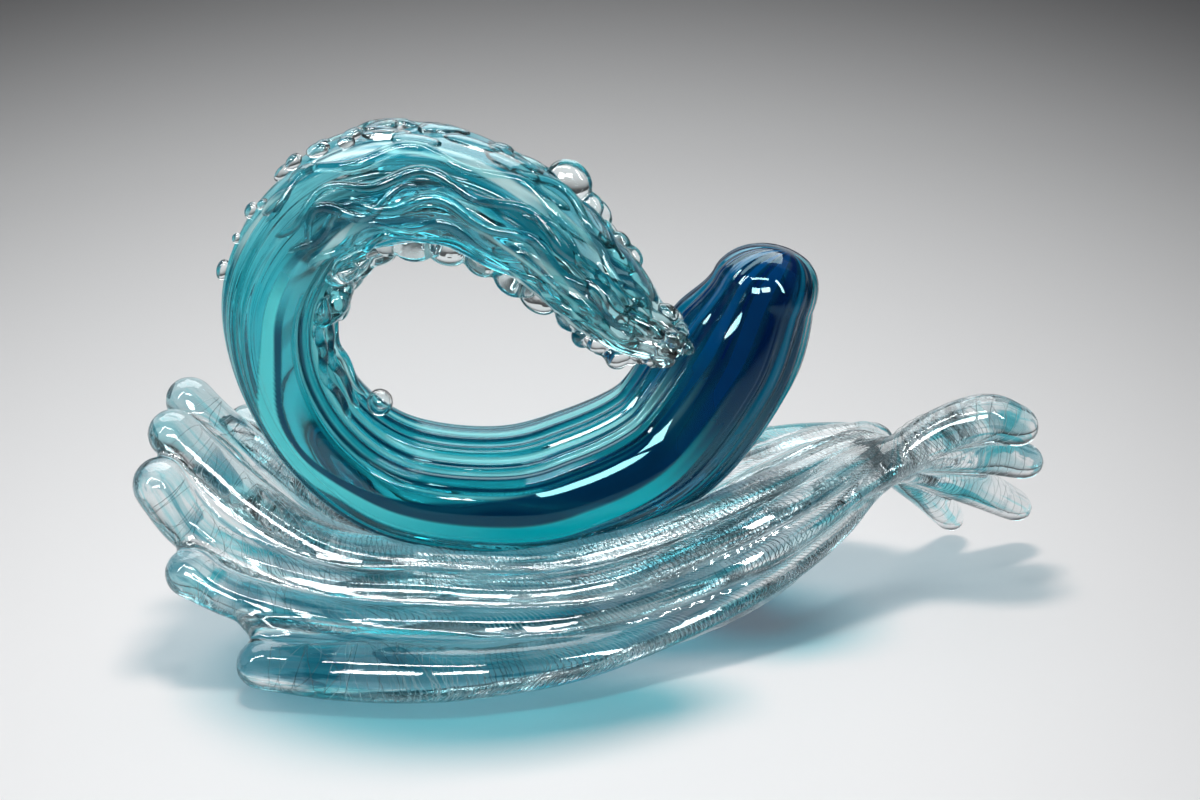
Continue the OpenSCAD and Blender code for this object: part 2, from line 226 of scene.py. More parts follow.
class Value:
    """A shader value that takes part in plain arithmetic: each operator adds one Math node."""

    def __init__(self, build, socket):
        self.build, self.socket = build, socket

    def _with(self, operation, a, b=None):
        inputs = {0: a} if b is None else {0: a, 1: b}
        return self.build.add("ShaderNodeMath", {"operation": operation}, inputs).value()

    __add__ = __radd__ = operator("ADD")
    __sub__, __rsub__ = operator("SUBTRACT"), operator("SUBTRACT", swapped=True)
    __mul__ = __rmul__ = operator("MULTIPLY")
    __truediv__, __rtruediv__ = operator("DIVIDE"), operator("DIVIDE", swapped=True)
    __pow__ = operator("POWER")

    def sine(self):
        return self._with("SINE", self)

    def least(self, other):
        """This value, or the other where that is greater"""
        return self._with("MAXIMUM", self, other)

    def step(self, low, high):
        """0 below low, 1 above high, smooth between"""
        settings = {"interpolation_type": "SMOOTHSTEP"}
        return self.build.add("ShaderNodeMapRange", settings,
                              {0: self, 1: low, 2: high, 3: 0.0, 4: 1.0}).value()


class Added:
    """A node that was added, with ways to take its outputs."""

    def __init__(self, build, node):
        self.build, self.node = build, node

    def value(self, output=0):
        return Value(self.build, self.node.outputs[output])

    def out(self, output=0):
        return self.node.outputs[output]


class Build:
    """Adds nodes to one tree, for a material or the world."""

    def __init__(self, owner):
        owner.use_nodes = True
        self.tree = owner.node_tree
        self.tree.nodes.clear()

    def add(self, kind, settings=None, inputs=None):
        node = self.tree.nodes.new(kind)
        for name, setting in (settings or {}).items():
            setattr(node, name, setting)
        for key, given in (inputs or {}).items():
            self.feed(node.inputs[key], given)
        return Added(self, node)

    def feed(self, socket, given):
        if isinstance(given, Value):
            given = given.socket
        elif isinstance(given, Added):
            given = given.out()
        if isinstance(given, bpy.types.NodeSocket):
            self.tree.links.new(given, socket)
        elif hasattr(given, "__len__") and len(given) == 3 and socket.type == "RGBA":
            socket.default_value = (*given, 1.0)
        else:
            socket.default_value = given

    def noise(self, vector, scale, detail):
        return self.add("ShaderNodeTexNoise", None, {
            "Vector": vector, "Scale": scale, "Detail": detail}).value("Fac")

    def stretched(self, vector, by):
        return self.add("ShaderNodeVectorMath", {"operation": "MULTIPLY"}, {0: vector, 1: by})

    def attribute(self, name, output):
        return self.add("ShaderNodeAttribute", {"attribute_name": name}).out(output)

    def mix(self, share, a, b):
        """Colour a where share is 0, b where it is 1"""
        node = self.add("ShaderNodeMix", {"data_type": "RGBA"})
        colours = [s for s in node.node.inputs if s.type == "RGBA"]
        self.feed(node.node.inputs[0], share)
        self.feed(colours[0], a)
        self.feed(colours[1], b)
        return next(s for s in node.node.outputs if s.type == "RGBA")


# Geometry Nodes trees

class Tree:
    """Adds nodes to one Geometry Nodes tree with named inputs."""

    def __init__(self, name, inputs):
        self.group = bpy.data.node_groups.new(name, "GeometryNodeTree")
        self.group.is_modifier = True
        face = self.group.interface
        face.new_socket("Geometry", in_out="INPUT", socket_type="NodeSocketGeometry")
        self.sockets = {
            key: face.new_socket(key, in_out="INPUT", socket_type=kind) for key, kind in inputs.items()}
        face.new_socket("Geometry", in_out="OUTPUT", socket_type="NodeSocketGeometry")
        self.given = self.group.nodes.new("NodeGroupInput")
        self.made = self.group.nodes.new("NodeGroupOutput")

    def add(self, kind, settings=None, inputs=None):
        node = self.group.nodes.new(kind)
        for name, setting in (settings or {}).items():
            setattr(node, name, setting)
        for key, given in (inputs or {}).items():
            socket = node.inputs[key]
            if isinstance(given, bpy.types.NodeSocket):
                self.group.links.new(given, socket)
            else:
                socket.default_value = given
        return node

    def input(self, name):
        return self.given.outputs[name]

    def named(self, kind, name):
        """What the points carry under this name"""
        node = self.add("GeometryNodeInputNamedAttribute", {"data_type": kind}, {"Name": name})
        return node.outputs["Attribute"]

    def set_on_points(self, instance, kind):
        """The instance on each point, with the turn and the size that the point carries"""
        made = self.add("GeometryNodeInstanceOnPoints", None, {
            "Points": self.input("Geometry"), "Instance": instance,
            "Rotation": self.named("QUATERNION", kind + "_turn"),
            "Scale": self.named("FLOAT_VECTOR", kind + "_size")})
        return self.add("GeometryNodeRealizeInstances", None, {"Geometry": made.outputs[0]}).outputs[0]

    def end(self, geometry, material):
        real = self.add("GeometryNodeRealizeInstances", None, {"Geometry": geometry})
        dressed = self.add("GeometryNodeSetMaterial", None,
                           {"Geometry": real.outputs[0], "Material": material})
        self.group.links.new(dressed.outputs[0], self.made.inputs[0])

    def baked(self, source, name, values):
        """The tree's result on source, as a plain mesh object of its own"""
        modifier = source.modifiers.new("made", "NODES")
        modifier.node_group = self.group
        for key, value in values.items():
            modifier[self.sockets[key].identifier] = value
        bpy.context.view_layer.update()
        seen = source.evaluated_get(bpy.context.evaluated_depsgraph_get())
        mesh = bpy.data.meshes.new_from_object(seen)
        source.modifiers.remove(modifier)
        bpy.data.objects.remove(source)
        mesh.name = name
        return placed(name, mesh)


# Shapes

def placed(name, mesh):
    obj = bpy.data.objects.new(name, mesh)
    bpy.context.scene.collection.objects.link(obj)
    return obj


def unit(v):
    return v / np.linalg.norm(v, axis=-1, keepdims=True)


def smooth_step(x, low, high):
    t = np.clip((x - low) / (high - low), 0, 1)
    return t * t * (3 - 2 * t)


class Sweep:
    """A section swept along stations. Lengths are in mm here, as in the part's source."""

    def __init__(self, stations, thick, deep):
        self.stations, self.thick, self.deep = np.asarray(stations, float), thick, deep

    def at(self, u):
        n = len(self.stations) - 1
        s = np.clip(u, 0, 0.999999) * n
        i = np.floor(s).astype(int)
        t = (s - i)[..., None]
        a, b = self.stations[np.maximum(i - 1, 0)], self.stations[i]
        c, d = self.stations[i + 1], self.stations[np.minimum(i + 2, n)]
        cubic = (3 * b - a - 3 * c + d) * t**3
        return 0.5 * (2 * b + (c - a) * t + (2 * a - 5 * b + 4 * c - d) * t**2 + cubic)

    def place(self, u):
        return self.at(u)[..., :3] - FOOTPRINT_MIDDLE

    def heading(self, u):
        u = np.asarray(u, float)
        return unit(self.place(np.minimum(u + 0.004, 1)) - self.place(np.maximum(u - 0.004, 0)))

    def directions(self, u):
        ahead = self.heading(u)
        depth = np.array([0.0, 1.0, 0.0])
        across = unit(depth - ahead * ahead[..., 1:2])
        return ahead, np.cross(ahead, across), across

    def skin(self, u, angle, height=0.0, share=1.0, shift=0.0):
        """Points on the skin, angle in degrees from the outer side, raised by height"""
        u, angle = np.broadcast_arrays(np.asarray(u, float), np.radians(angle))
        ahead, outward, across = self.directions(u)
        s = self.at(u)
        rise = s[..., 3] * self.thick * share + height
        reach = s[..., 4] * self.deep * share + height
        return (s[..., :3] - FOOTPRINT_MIDDLE + ahead * np.asarray(shift)[..., None]
                + outward * (rise * np.cos(angle))[..., None] + across * (reach * np.sin(angle))[..., None])

    def normal(self, u, angle):
        u, angle = np.broadcast_arrays(np.asarray(u, float), np.radians(angle))
        _, outward, across = self.directions(u)
        s = self.at(u)
        return unit(outward * (np.cos(angle) / (s[..., 3] * self.thick))[..., None]
                    + across * (np.sin(angle) / (s[..., 4] * self.deep))[..., None])

    def pole(self, u, reach):
        """The point past an end, on the sweep's middle line"""
        return self.place(np.array(u)) + self.heading(u) * reach

    def cap(self, u, angles, tilts, reach, share=1.0, height=0.0, power=1.0):
        """Rings that round an end off, each at its tilt from the pole's direction in degrees"""
        rings = []
        for t in np.radians(tilts):
            shrink = np.sin(t) ** power
            ends = np.full(len(angles), u)
            rings.append(self.skin(ends, angles, height * shrink, share * shrink, reach * np.cos(t)))
        return rings

    def radius(self, u, angle):
        s, a = self.at(u), np.radians(angle)
        return np.hypot(s[..., 3] * self.thick * np.cos(a), s[..., 4] * self.deep * np.sin(a))


def skinned(name, rings, first, last, layers=None):
    """A closed mesh over equal rings with a pole at each end, in mm. layers are colours or shares."""
    rings = np.asarray(rings)
    m, n = rings.shape[:2]
    points = np.concatenate([[first], rings.reshape(-1, 3), [last]]) * MM
    i = np.arange(n)
    j = (i + 1) % n
    start = 1 + np.arange(m - 1)[:, None] * n
    quads = np.stack([start + i, start + j, start + j + n, start + i + n], -1).reshape(-1, 4)
    tail = 1 + (m - 1) * n
    caps = [(0, 1 + b, 1 + a) for a, b in zip(i, j)]
    caps += [(len(points) - 1, tail + a, tail + b) for a, b in zip(i, j)]
    mesh = bpy.data.meshes.new(name)
    mesh.from_pydata(points.tolist(), [], quads.tolist() + [tuple(int(k) for k in c) for c in caps])
    outward(mesh)
    for layer_name, values in (layers or {}).items():
        layer = mesh.color_attributes.new(layer_name, "FLOAT_COLOR", "POINT")
        if values.ndim == 2:
            values = np.repeat(values[..., None], 3, -1)
        values = np.concatenate([values[:1, 0], values.reshape(-1, 3), values[-1:, 0]])
        values = np.column_stack([values, np.ones(len(values))]).astype(np.float32)
        layer.data.foreach_set("color", values.ravel())
    mesh.update()
    return placed(name, mesh)


def outward(mesh):
    """Turns every face outwards and shades the skin smooth"""
    fix = bmesh.new()
    fix.from_mesh(mesh)
    bmesh.ops.recalc_face_normals(fix, faces=fix.faces)
    fix.to_mesh(mesh)
    fix.free()
    mesh.shade_smooth()


def ball(name, centre, axes, rings=24, sides=36):
    """A closed egg shape. axes are its three half axes as vectors, in mm."""
    tilt = np.linspace(0, np.pi, rings + 1)[1:-1, None]
    turn = np.linspace(0, 2 * np.pi, sides, endpoint=False)
    level = np.cos(tilt) * np.ones(sides)
    skin = np.stack([np.sin(tilt) * np.cos(turn), np.sin(tilt) * np.sin(turn), level], -1)
    pole = np.array([0.0, 0.0, 1.0]) @ axes
    return skinned(name, centre + skin @ axes, centre + pole, centre - pole)


def coordinates(obj):
    """The places of the points, one row each"""
    co = np.zeros(len(obj.data.vertices) * 3, np.float32)
    obj.data.vertices.foreach_get("co", co)
    return co.reshape(-1, 3)


def applied(obj):
    """obj with its modifiers applied"""
    bpy.context.view_layer.update()
    mesh = bpy.data.meshes.new_from_object(obj.evaluated_get(bpy.context.evaluated_depsgraph_get()))
    mesh.name = obj.name
    old = obj.data
    obj.modifiers.clear()
    obj.data = mesh
    bpy.data.meshes.remove(old)
    return obj


def melted(obj, voxel, smoothing):
    """Fuses a piece's closed shells into one skin and lets it flow smooth"""
    remesh = obj.modifiers.new("fuse", "REMESH")
    remesh.mode, remesh.voxel_size, remesh.use_smooth_shade = "VOXEL", voxel, True
    flow = obj.modifiers.new("flow", "SMOOTH")
    flow.factor, flow.iterations = 0.5, smoothing
    applied(obj)
    obj.data.shade_smooth()
    return obj


def streaked_light_and_shade(b, colour, drawn):
    """The cradle's colour, most of it painted light and shade: streaks along its ribs that stand in for teal
    reflections and dark refraction lines, painted teal reflection in the grooves, painted dark shade in
    pockets near the left end, and greyer lobes painted as shade. The first streaks also make the skin uneven."""
    flow = b.attribute("rib_flow", 1)
    parts = b.add("ShaderNodeSeparateXYZ", None, {0: flow})
    between, along = (parts.value(0) * math.pi).sine() ** 2, parts.value(1)
    lines = []
    # Streaks that stand in for teal reflections of the curl and dark refraction lines
    for paint, stretch, low, high in drawn:
        lines.append(b.noise(b.stretched(flow, stretch), 1.0, 3.0))
        colour = b.mix(lines[-1].step(low, high) * (0.30 + 0.70 * between), colour, paint)
    # Painted teal reflection in the grooves between the ribs
    colour = b.mix(between.step(0.94, 1.0) * 0.6, colour, (0.02, 0.44, 0.52))
    # Painted dark shade in pockets near the left end
    shade_pocket = b.noise(b.stretched(flow, (1.3, 2.2, 2.0)), 1.0, 1.0).step(0.60, 0.63)
    near_end = along.step(0.14, 0.30) * (1 - along.step(0.75, 1.05))
    colour = b.mix(shade_pocket * near_end * 0.85, colour, (0.0, 0.18, 0.26))
    # Painted shade: greyer lobes at the left end
    return b.mix((1 - along.step(-0.10, 0.12)) * 0.45, colour, (0.50, 0.72, 0.77)), lines[0]


def glass(name, tint, absorbs, density, shadow, roughness=0.0, ior=1.5, cased=False, drawn=None, ripple=0.2):
    """Clear or coloured glass. tint is what one surface lets through, absorbs and density what its depth
    takes, shadow what its shadow lets through. Cased glass reads its tint and its dense bands from the
    piece; these hold painted light and shade as well as colour. Drawn glass has streaks along the piece's own
    flow, with painted light and shade in them. ripple is how uneven the skin is."""
    mat = bpy.data.materials.get(name)
    if mat is not None:
        return mat
    mat = bpy.data.materials.new(name)
    b = Build(mat)
    spot = b.add("ShaderNodeTexCoord").out("Object")
    cloud, uneven = b.noise(spot, 26.0, 1.0), b.noise(spot, 70.0, 2.0)
    colour = b.mix(cloud.step(0.35, 0.70), tint, tuple(0.93 * c for c in tint))
    if cased:
        colour = b.attribute("glass_tint", 0)
    if drawn:
        colour, uneven = streaked_light_and_shade(b, colour, drawn)
    bump = b.add("ShaderNodeBump", None, {"Strength": ripple, "Distance": 0.0006, "Height": uneven})
    inputs = {"Base Color": colour, "Roughness": roughness, "IOR": ior, "Transmission Weight": 1.0,
              "Normal": bump}
    body = b.add("ShaderNodeBsdfPrincipled", None, inputs)
    if cased:
        dense = b.add("ShaderNodeBsdfPrincipled", None, {
            "Base Color": b.attribute("band_colour", 0), "Roughness": 0.03,
            "Specular Tint": (0.30, 0.92, 1.0, 1.0)})
        body = b.add("ShaderNodeMixShader", None, {0: b.attribute("band_share", 2), 1: body, 2: dense})
    clear = b.add("ShaderNodeBsdfTransparent", None, {"Color": shadow})
    path = b.add("ShaderNodeLightPath")
    lit = b.add("ShaderNodeMixShader", None, {0: path.out("Is Shadow Ray"), 1: body, 2: clear})
    soft = b.add("ShaderNodeMixShader", None, {0: path.out("Is Diffuse Ray"), 1: lit, 2: clear})
    out = b.add("ShaderNodeOutputMaterial", None, {"Surface": soft})
    if density:
        depth = b.add("ShaderNodeVolumeAbsorption", None, {"Color": absorbs, "Density": density})
        b.feed(out.node.inputs["Volume"], depth)
    return mat


def foam_finish(colours):
    """The clear glass of the foam, the tip and the bubble"""
    return glass("foam_clear", colours.clear, (0.55, 0.86, 0.88), 5.0, (0.92, 0.95, 0.95))


def dressed(piece, slot, material, *nodes):
    """Gives a finished piece its material and its body, and hides the nodes it stands for. slot is not used.
    """
    piece.data.materials.clear()
    piece.data.materials.append(material)
    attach(piece, ROOT)
    if nodes:
        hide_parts(*nodes)
    return piece


def wave_sweep():
    sizes = bpy.context.scene.wave_sizes
    return Sweep(WAVE, sizes.half_thickness / MM, sizes.half_depth / MM)


# The curl

def fluted(angle, fade):
    """Share of the radius left by the flutes and fine lines at these angles"""
    sizes = bpy.context.scene.wave_sizes
    depth = sizes.flute_depth / sizes.half_thickness
    cut = np.zeros(np.broadcast(angle, fade).shape)
    for at, share, width in FLUTES + FINE_LINES:
        away = (angle - at + 180) % 360 - 180
        cut = cut + share * np.exp(-((away / (0.72 * width)) ** 2))
    return 1 - depth * cut * fade


def crest_strands(rng, count):
    """Strands over the crest: where each starts and ends along it, its line round it, its width and height"""
    strands = []
    for k in range(count):
        length = rng.uniform(0.09, 0.30)
        start = rng.uniform(CREST_FROM - 0.03, 0.985 - 0.4 * length)
        strands.append({
            "from": start, "to": min(start + length, 1.02),
            "angle": rng.uniform(-205, 60) if k % 5 else rng.uniform(60, 155),
            "swing": rng.uniform(3, 12), "waves": rng.uniform(2, 6), "phase": rng.uniform(0, 6.28),
            "drift": rng.uniform(-120, 40), "width": rng.uniform(8.0, 21.0), "height": rng.uniform(0.45, 1.0),
        })
    return strands


def crest_relief(sweep, u, angle, strands, tallest):
    """Height of the fused strands over the skin, in mm"""
    height = np.zeros(np.broadcast(u, angle).shape)
    around = np.radians(1.0) * sweep.radius(u, angle)
    for s in strands:
        mid, half = (s["from"] + s["to"]) / 2, (s["to"] - s["from"]) / 2
        along = (u - mid) / half
        inside = np.abs(along) < 1
        wander = s["swing"] * np.sin(s["waves"] * 6.28 * (u - mid) * 2.2 + s["phase"])
        line = s["angle"] + s["drift"] * (u - mid) + wander
        away = ((angle - line + 180) % 360 - 180) * around
        taper = np.sqrt(np.clip(1 - along**4, 0, 1))
        width = s["width"] * (0.45 + 0.55 * taper) * (1 + 0.5 * smooth_step(u, 0.80, 0.92))
        lump = np.where(inside, np.sqrt(np.clip(1 - (away / width) ** 2, 0, 1)) * taper, 0)
        lift = tallest * s["height"] * lump * (1 + 0.25 * np.sin(34 * u + s["phase"]))
        height = height + lift**3
    return height ** (1 / 3)


class GLASSWAVE_OT_curl(bpy.types.Operator):
    """Make the teal curl: one fluted body whose crest is covered by fused strands"""
    bl_idname = "glasswave.curl"
    bl_label = "Curl"

    def execute(self, context):
        sizes, colours = context.scene.wave_sizes, context.scene.glass_colours
        sweep = wave_sweep()
        angles = np.concatenate([np.linspace(-210, -40, 190, endpoint=False),
                                 np.linspace(-40, 150, 108, endpoint=False)])
        along = np.concatenate([np.linspace(0, CREST_FROM, 128, endpoint=False),
                                np.linspace(CREST_FROM, 1, 172)])
        u, a = np.meshgrid(along, angles, indexing="ij")
        rng = np.random.default_rng(SEED)
        strands = crest_strands(rng, sizes.strand_count)
        crest = smooth_step(u, CREST_FROM - 0.02, CREST_FROM + 0.1)
        front = smooth_step(np.cos(np.radians(a + 75)), -0.75, 0.1)
        tallest = sizes.strand_height / MM * (0.35 + 0.65 * front) * crest
        tallest = tallest * (1 - 0.6 * smooth_step(u, 0.86, 0.98))
        relief = crest_relief(sweep, u, a, strands, tallest)
        sunk = -4.3 * crest * (0.4 + 0.6 * front) * (1 - 0.6 * smooth_step(u, 0.88, 1.0))
        fade = (0.35 + 0.65 * smooth_step(u, 0.0, 0.06)) * (1 - 0.75 * crest)
        calm = np.exp(-(((a + 112) / 24) ** 4)) * (1 - smooth_step(u, 0.28, 0.40))
        fade = fade * (1 - 0.93 * calm)
        behind = (a + 360) % 360 - 180
        near_bulb = smooth_step(u, 0.0, 0.05) * (1 - smooth_step(u, 0.06, 0.15))
        full = 7.0 * np.exp(-((behind / 62) ** 2)) * near_bulb + 3.2 * smooth_step(u, 0.84, 0.93)
        height = relief + sunk + full
        hand = 1 + 0.006 * np.sin(23 * u + np.radians(a) * 2) + 0.004 * np.sin(51 * u - np.radians(a) * 3)
        share = fluted(a, fade) * hand
        rings = sweep.skin(u, a, height, share)
        layers = self.colour_layers(colours, u, a, relief, crest)
        start, tail, first, last = self.domes(sweep, angles, share, height, sizes.bulb_dome / MM)
        for name, values in layers.items():
            ends = [np.repeat(values[:1], len(start), 0), values, np.repeat(values[-1:], len(tail), 0)]
            layers[name] = np.concatenate(ends)
        piece = skinned("wave_body_glass", np.concatenate([start, rings, tail]), first, last, layers)
        material = glass("teal_fluted", colours.teal, (0.05, 0.76, 0.82), 13.0, (0.28, 0.76, 0.81),
                         cased=True, ripple=0.12)
        dressed(piece, "teal_glass", material, "wave_body")
        return {"FINISHED"}

    @staticmethod
    def colour_layers(colours, u, a, relief, crest):
        """What the skin lets through, and the dense bands drawn out along the arm. Both hold the glass's
        colour and also painted light and shade.
        """
        navy, teal = np.array(colours.navy[:]), np.array(colours.teal[:])
        aqua, clear = np.array(colours.aqua[:]), np.array(colours.clear[:])

        def blend(base, colour, share):
            return base * (1 - share[..., None]) + np.asarray(colour) * share[..., None]

        def beside(middle, half, edge):
            away = np.abs((a - middle + 180) % 360 - 180)
            return 1 - smooth_step(away, half - edge, half + edge)

        tint = np.broadcast_to(navy, u.shape + (3,))
        tint = blend(tint, teal, smooth_step(u + 0.03 * np.sin(np.radians(a) * 2), 0.04, 0.32))
        tint = blend(tint, (0.34, 0.84, 0.88), beside(-20, 48, 10) * smooth_step(u, 0.28, 0.46) * 0.7)
        tint = blend(tint, aqua, smooth_step(u, 0.50, 0.66))
        # Painted shade: deeper teal in the valleys between the fused strands
        painted_valley_shade = (1 - smooth_step(relief, 1.2, 4.2)) * crest
        tint = blend(tint, (0.0, 0.30, 0.44), painted_valley_shade * 0.92 * (1 - smooth_step(u, 0.84, 0.94)))
        patch = beside(-176, 26, 10) * smooth_step(u, 0.50, 0.56) * (1 - smooth_step(u, 0.66, 0.74))
        tint = blend(tint, clear, patch * 0.8)
        tint = blend(tint, clear, smooth_step(u, 0.80, 0.93))
        # Painted light: clearer glass on the tops of the fused strands
        tint = blend(tint, clear, smooth_step(relief, 3.8, 5.8) * crest * 0.92)
        bands = np.zeros(u.shape), np.broadcast_to(np.array(MIDDLE), u.shape + (3,))

        def laid(bands, here, paint, most):
            return bands[0] * (1 - here) + most * here, blend(bands[1], paint, here)

        begins = smooth_step(u, 0.035, 0.13)
        # Lays the bands, which are partly colour and partly painted light and shade
        for k, (at, half, paint, most) in enumerate(BANDS):
            here = beside(at + 2.2 * np.sin(6.5 * u + k), half * (1 + 0.35 * np.sin(11 * u + 1.7 * k)), 1.0)
            ends = smooth_step(u, 0.53 + 0.04 * math.sin(2.1 * k), 0.60 + 0.03 * math.sin(3.3 * k))
            here = here * begins * (1 - ends)
            bands = laid(bands, here, paint, most)
        # The wide pale band that faces the viewer, with the dark one inside it. The pale band is a painted
        # glow that stands in for the bright floor and backdrop seen through the arm.
        bend = np.exp(-(((u - 0.425) / 0.045) ** 2))
        middle = -86 + 6 * smooth_step(u, 0.10, 0.24) + 19 * bend - 8 * smooth_step(u, 0.45, 0.52)
        half = 6.5 + 3 * smooth_step(u, 0.12, 0.24) + 3.5 * bend - 3.5 * smooth_step(u, 0.46, 0.53)
        reach = 15 - 11 * smooth_step(u, 0.22, 0.40)
        inner = beside(middle - half - reach, reach, 1.1 + 1.3 * (1 - smooth_step(u, 0.30, 0.36)))
        inner = inner * smooth_step(u, 0.06, 0.14) * (1 - smooth_step(u, 0.52, 0.58))
        pale = beside(middle, half, 1.1) * smooth_step(u, 0.05, 0.12) * (1 - smooth_step(u, 0.55, 0.60))
        paler = smooth_step(u, 0.24, 0.40)[..., None]
        glow_band_colour = np.array([0.0, 0.60, 0.70]) + np.array([0.15, 0.32, 0.26]) * paler
        for here, paint, most in ((inner, (0.0, 0.034, 0.10), 0.93), (pale, glow_band_colour, 0.92)):
            bands = laid(bands, here, paint, most)
        # Streaks wandering through the crest: teal colour, with the dark ones as painted shade and the
        # near-white ones as painted highlights
        rng = np.random.default_rng(SEED + 1)
        for k in range(36):
            start, length = rng.uniform(0.53, 0.86), rng.uniform(0.10, 0.26)
            line = rng.uniform(-200, 40) - 70 * (u - start)
            line = line + rng.uniform(4, 12) * np.sin(rng.uniform(10, 24) * u + k)
            here = beside(line, rng.uniform(1.8, 6.5), 1.6) * smooth_step(u, start, start + 0.04)
            end = start + length
            here = here * (1 - smooth_step(u, end - 0.05, end)) * (1 - smooth_step(u, 0.90, 0.96))
            paint = ((0.0, 0.09, 0.16), (0.0, 0.24, 0.34), (0.72, 0.98, 0.98))[k % 3]
            bands = laid(bands, here, paint, 0.74)
        bulb = 1 - smooth_step(u + 0.015 * np.sin(np.radians(a) * 5), 0.06, 0.15)
        bands = laid(bands, bulb, (0.0, 0.055, 0.13), 0.52)
        # Lays the blue arm's bands, partly colour and partly painted light and shade
        for k, (at, half, paint, most) in enumerate(BLUE_BANDS):
            here = beside(at + 3 * np.sin(9 * u + k), half * (1 + 0.3 * np.sin(17 * u + 1.7 * k)), 2.2) * bulb
            bands = laid(bands, here, paint, most)
        return {"glass_tint": tint, "band_share": bands[0], "band_colour": bands[1]}

    @staticmethod
    def domes(sweep, angles, share, height, bulb):
        """Rounds both ends: the rings before the first and after the last, and the two poles"""
        tilts, tip, lean = np.linspace(6, 84, 16), 6.0, sweep.directions(np.array(0.0))[1] * 5.0
        start = sweep.cap(0.0, angles, tilts, -bulb, share[0], height[0], 0.85)
        start = [ring + lean * np.cos(np.radians(t)) ** 2 for ring, t in zip(start, tilts)]
        tail = sweep.cap(1.0, angles, tilts[::-2], tip, share[-1], height[-1])
        return start, tail, sweep.pole(0.0, -bulb) + lean, sweep.pole(1.0, tip)


class GLASSWAVE_OT_core(bpy.types.Operator):
    """Make the cobalt core cased inside the blue arm"""
    bl_idname = "glasswave.core"
    bl_label = "Cobalt core"

    def execute(self, context):
        sweep = wave_sweep()
        share = context.scene.wave_sizes.core_share
        tail = 0.24
        s = np.linspace(0, 0.97, 60)
        swell = np.where(s < 0.2, np.sqrt(1 - np.clip(1 - s / 0.2, 0, 1) ** 2 * 0.75),
                         np.cos(np.radians(90 * np.clip(s - 0.2, 0, 1) / 0.8)) ** 0.8)
        sides = 64
        angles = np.linspace(0, 360, sides, endpoint=False)
        rings = [sweep.skin(np.full(sides, tail * k), angles, 0.0, share * w) for k, w in zip(s, swell)]
        head = sweep.thick * share * 0.4
        cap = sweep.cap(0.0, angles, np.linspace(12, 80, 7), -head, share * swell[0])
        rings = np.concatenate([cap, rings])
        piece = skinned("cobalt_core", rings, sweep.pole(0.0, -head), sweep.place(np.array(tail)))
        material = glass("cobalt_core", (0.16, 0.42, 0.68), (0.02, 0.18, 0.40), 50.0, (0.80, 0.96, 0.98),
                         ior=1.03)
        dressed(piece, "cobalt_glass", material, "wave_core")
        return {"FINISHED"}


# The cradle

def rib_sweep(name):
    sizes = bpy.context.scene.cradle_sizes
    return Sweep(RIBS[name], sizes.half_height / MM, sizes.half_width / MM)


def rib_mesh(name, lobe, sides=36):
    """One rib with its two lobes"""
    sweep = rib_sweep(name)
    angles = np.linspace(0, 360, sides, endpoint=False)
    along = np.linspace(0, 1, 150)
    rng = np.random.default_rng(SEED + list(RIBS).index(name))
    swell = 1 + 0.11 * np.exp(-((along / 0.040) ** 2)) + 0.10 * np.exp(-(((1 - along) / 0.040) ** 2))
    swell = swell + 0.012 * np.sin(along * rng.uniform(20, 30) + rng.uniform(0, 6))
    rings = [sweep.skin(np.full(sides, u), angles, 0.0, k) for u, k in zip(along, swell)]
    tilts = np.linspace(8, 82, 10)
    start = sweep.cap(0.0, angles, tilts, -lobe, swell[0])
    tail = sweep.cap(1.0, angles, tilts[::-1], lobe, swell[-1])
    rings = np.concatenate([start, rings, tail])
    return skinned("rib_" + name, rings, sweep.pole(0.0, -lobe), sweep.pole(1.0, lobe))


def web_mesh(left, right, height=0.78, sides=36):
    """The glass between two neighbouring ribs, which leaves a shallow groove between them"""
    a, b = rib_sweep(left), rib_sweep(right)
    u = np.linspace(0.02, 0.955, 140)
    pa, pb = a.place(u), b.place(u)
    half = (pb - pa) / 2
    rise = np.minimum(a.at(u)[:, 3] * a.thick, b.at(u)[:, 3] * b.thick) * height
    rise = rise * np.sqrt(np.clip(1 - np.abs(2 * (u - 0.4875) / 0.94) ** 16, 0.02, 1))
    up = unit(np.cross(a.heading(u), half)) * rise[:, None]
    turn = np.linspace(0, 2 * np.pi, sides, endpoint=False)[:, None]
    rings = ((pa + pb) / 2)[:, None] + half[:, None] * np.cos(turn) + up[:, None] * np.sin(turn)
    return skinned("web_" + left, rings, (pa[0] + pb[0]) / 2, (pa[-1] + pb[-1]) / 2)


def joined(objects, name):
    """Several pieces as the shells of one"""
    points, faces, base = [], [], 0
    for o in objects:
        points += [v.co[:] for v in o.data.vertices]
        faces += [tuple(base + k for k in p.vertices) for p in o.data.polygons]
        base = len(points)
        bpy.data.objects.remove(o)
    mesh = bpy.data.meshes.new(name)
    mesh.from_pydata(points, [], faces)
    return placed(name, mesh)


def seat_cutter(gap):
    """The curl's own sweep, enlarged by the room it needs in its seat"""
    sweep = wave_sweep()
    sides = 96
    angles = np.linspace(-180, 180, sides, endpoint=False)
    along = np.linspace(0, 0.6, 120)
    u, a = np.meshgrid(along, angles, indexing="ij")
    rings = sweep.skin(u, a, gap, fluted(a, smooth_step(u, 0.0, 0.06) * 0.65 + 0.35))
    first, last = sweep.place(np.array(0.0)), sweep.place(np.array(0.6))
    return skinned("seat_cutter", rings, first, last)


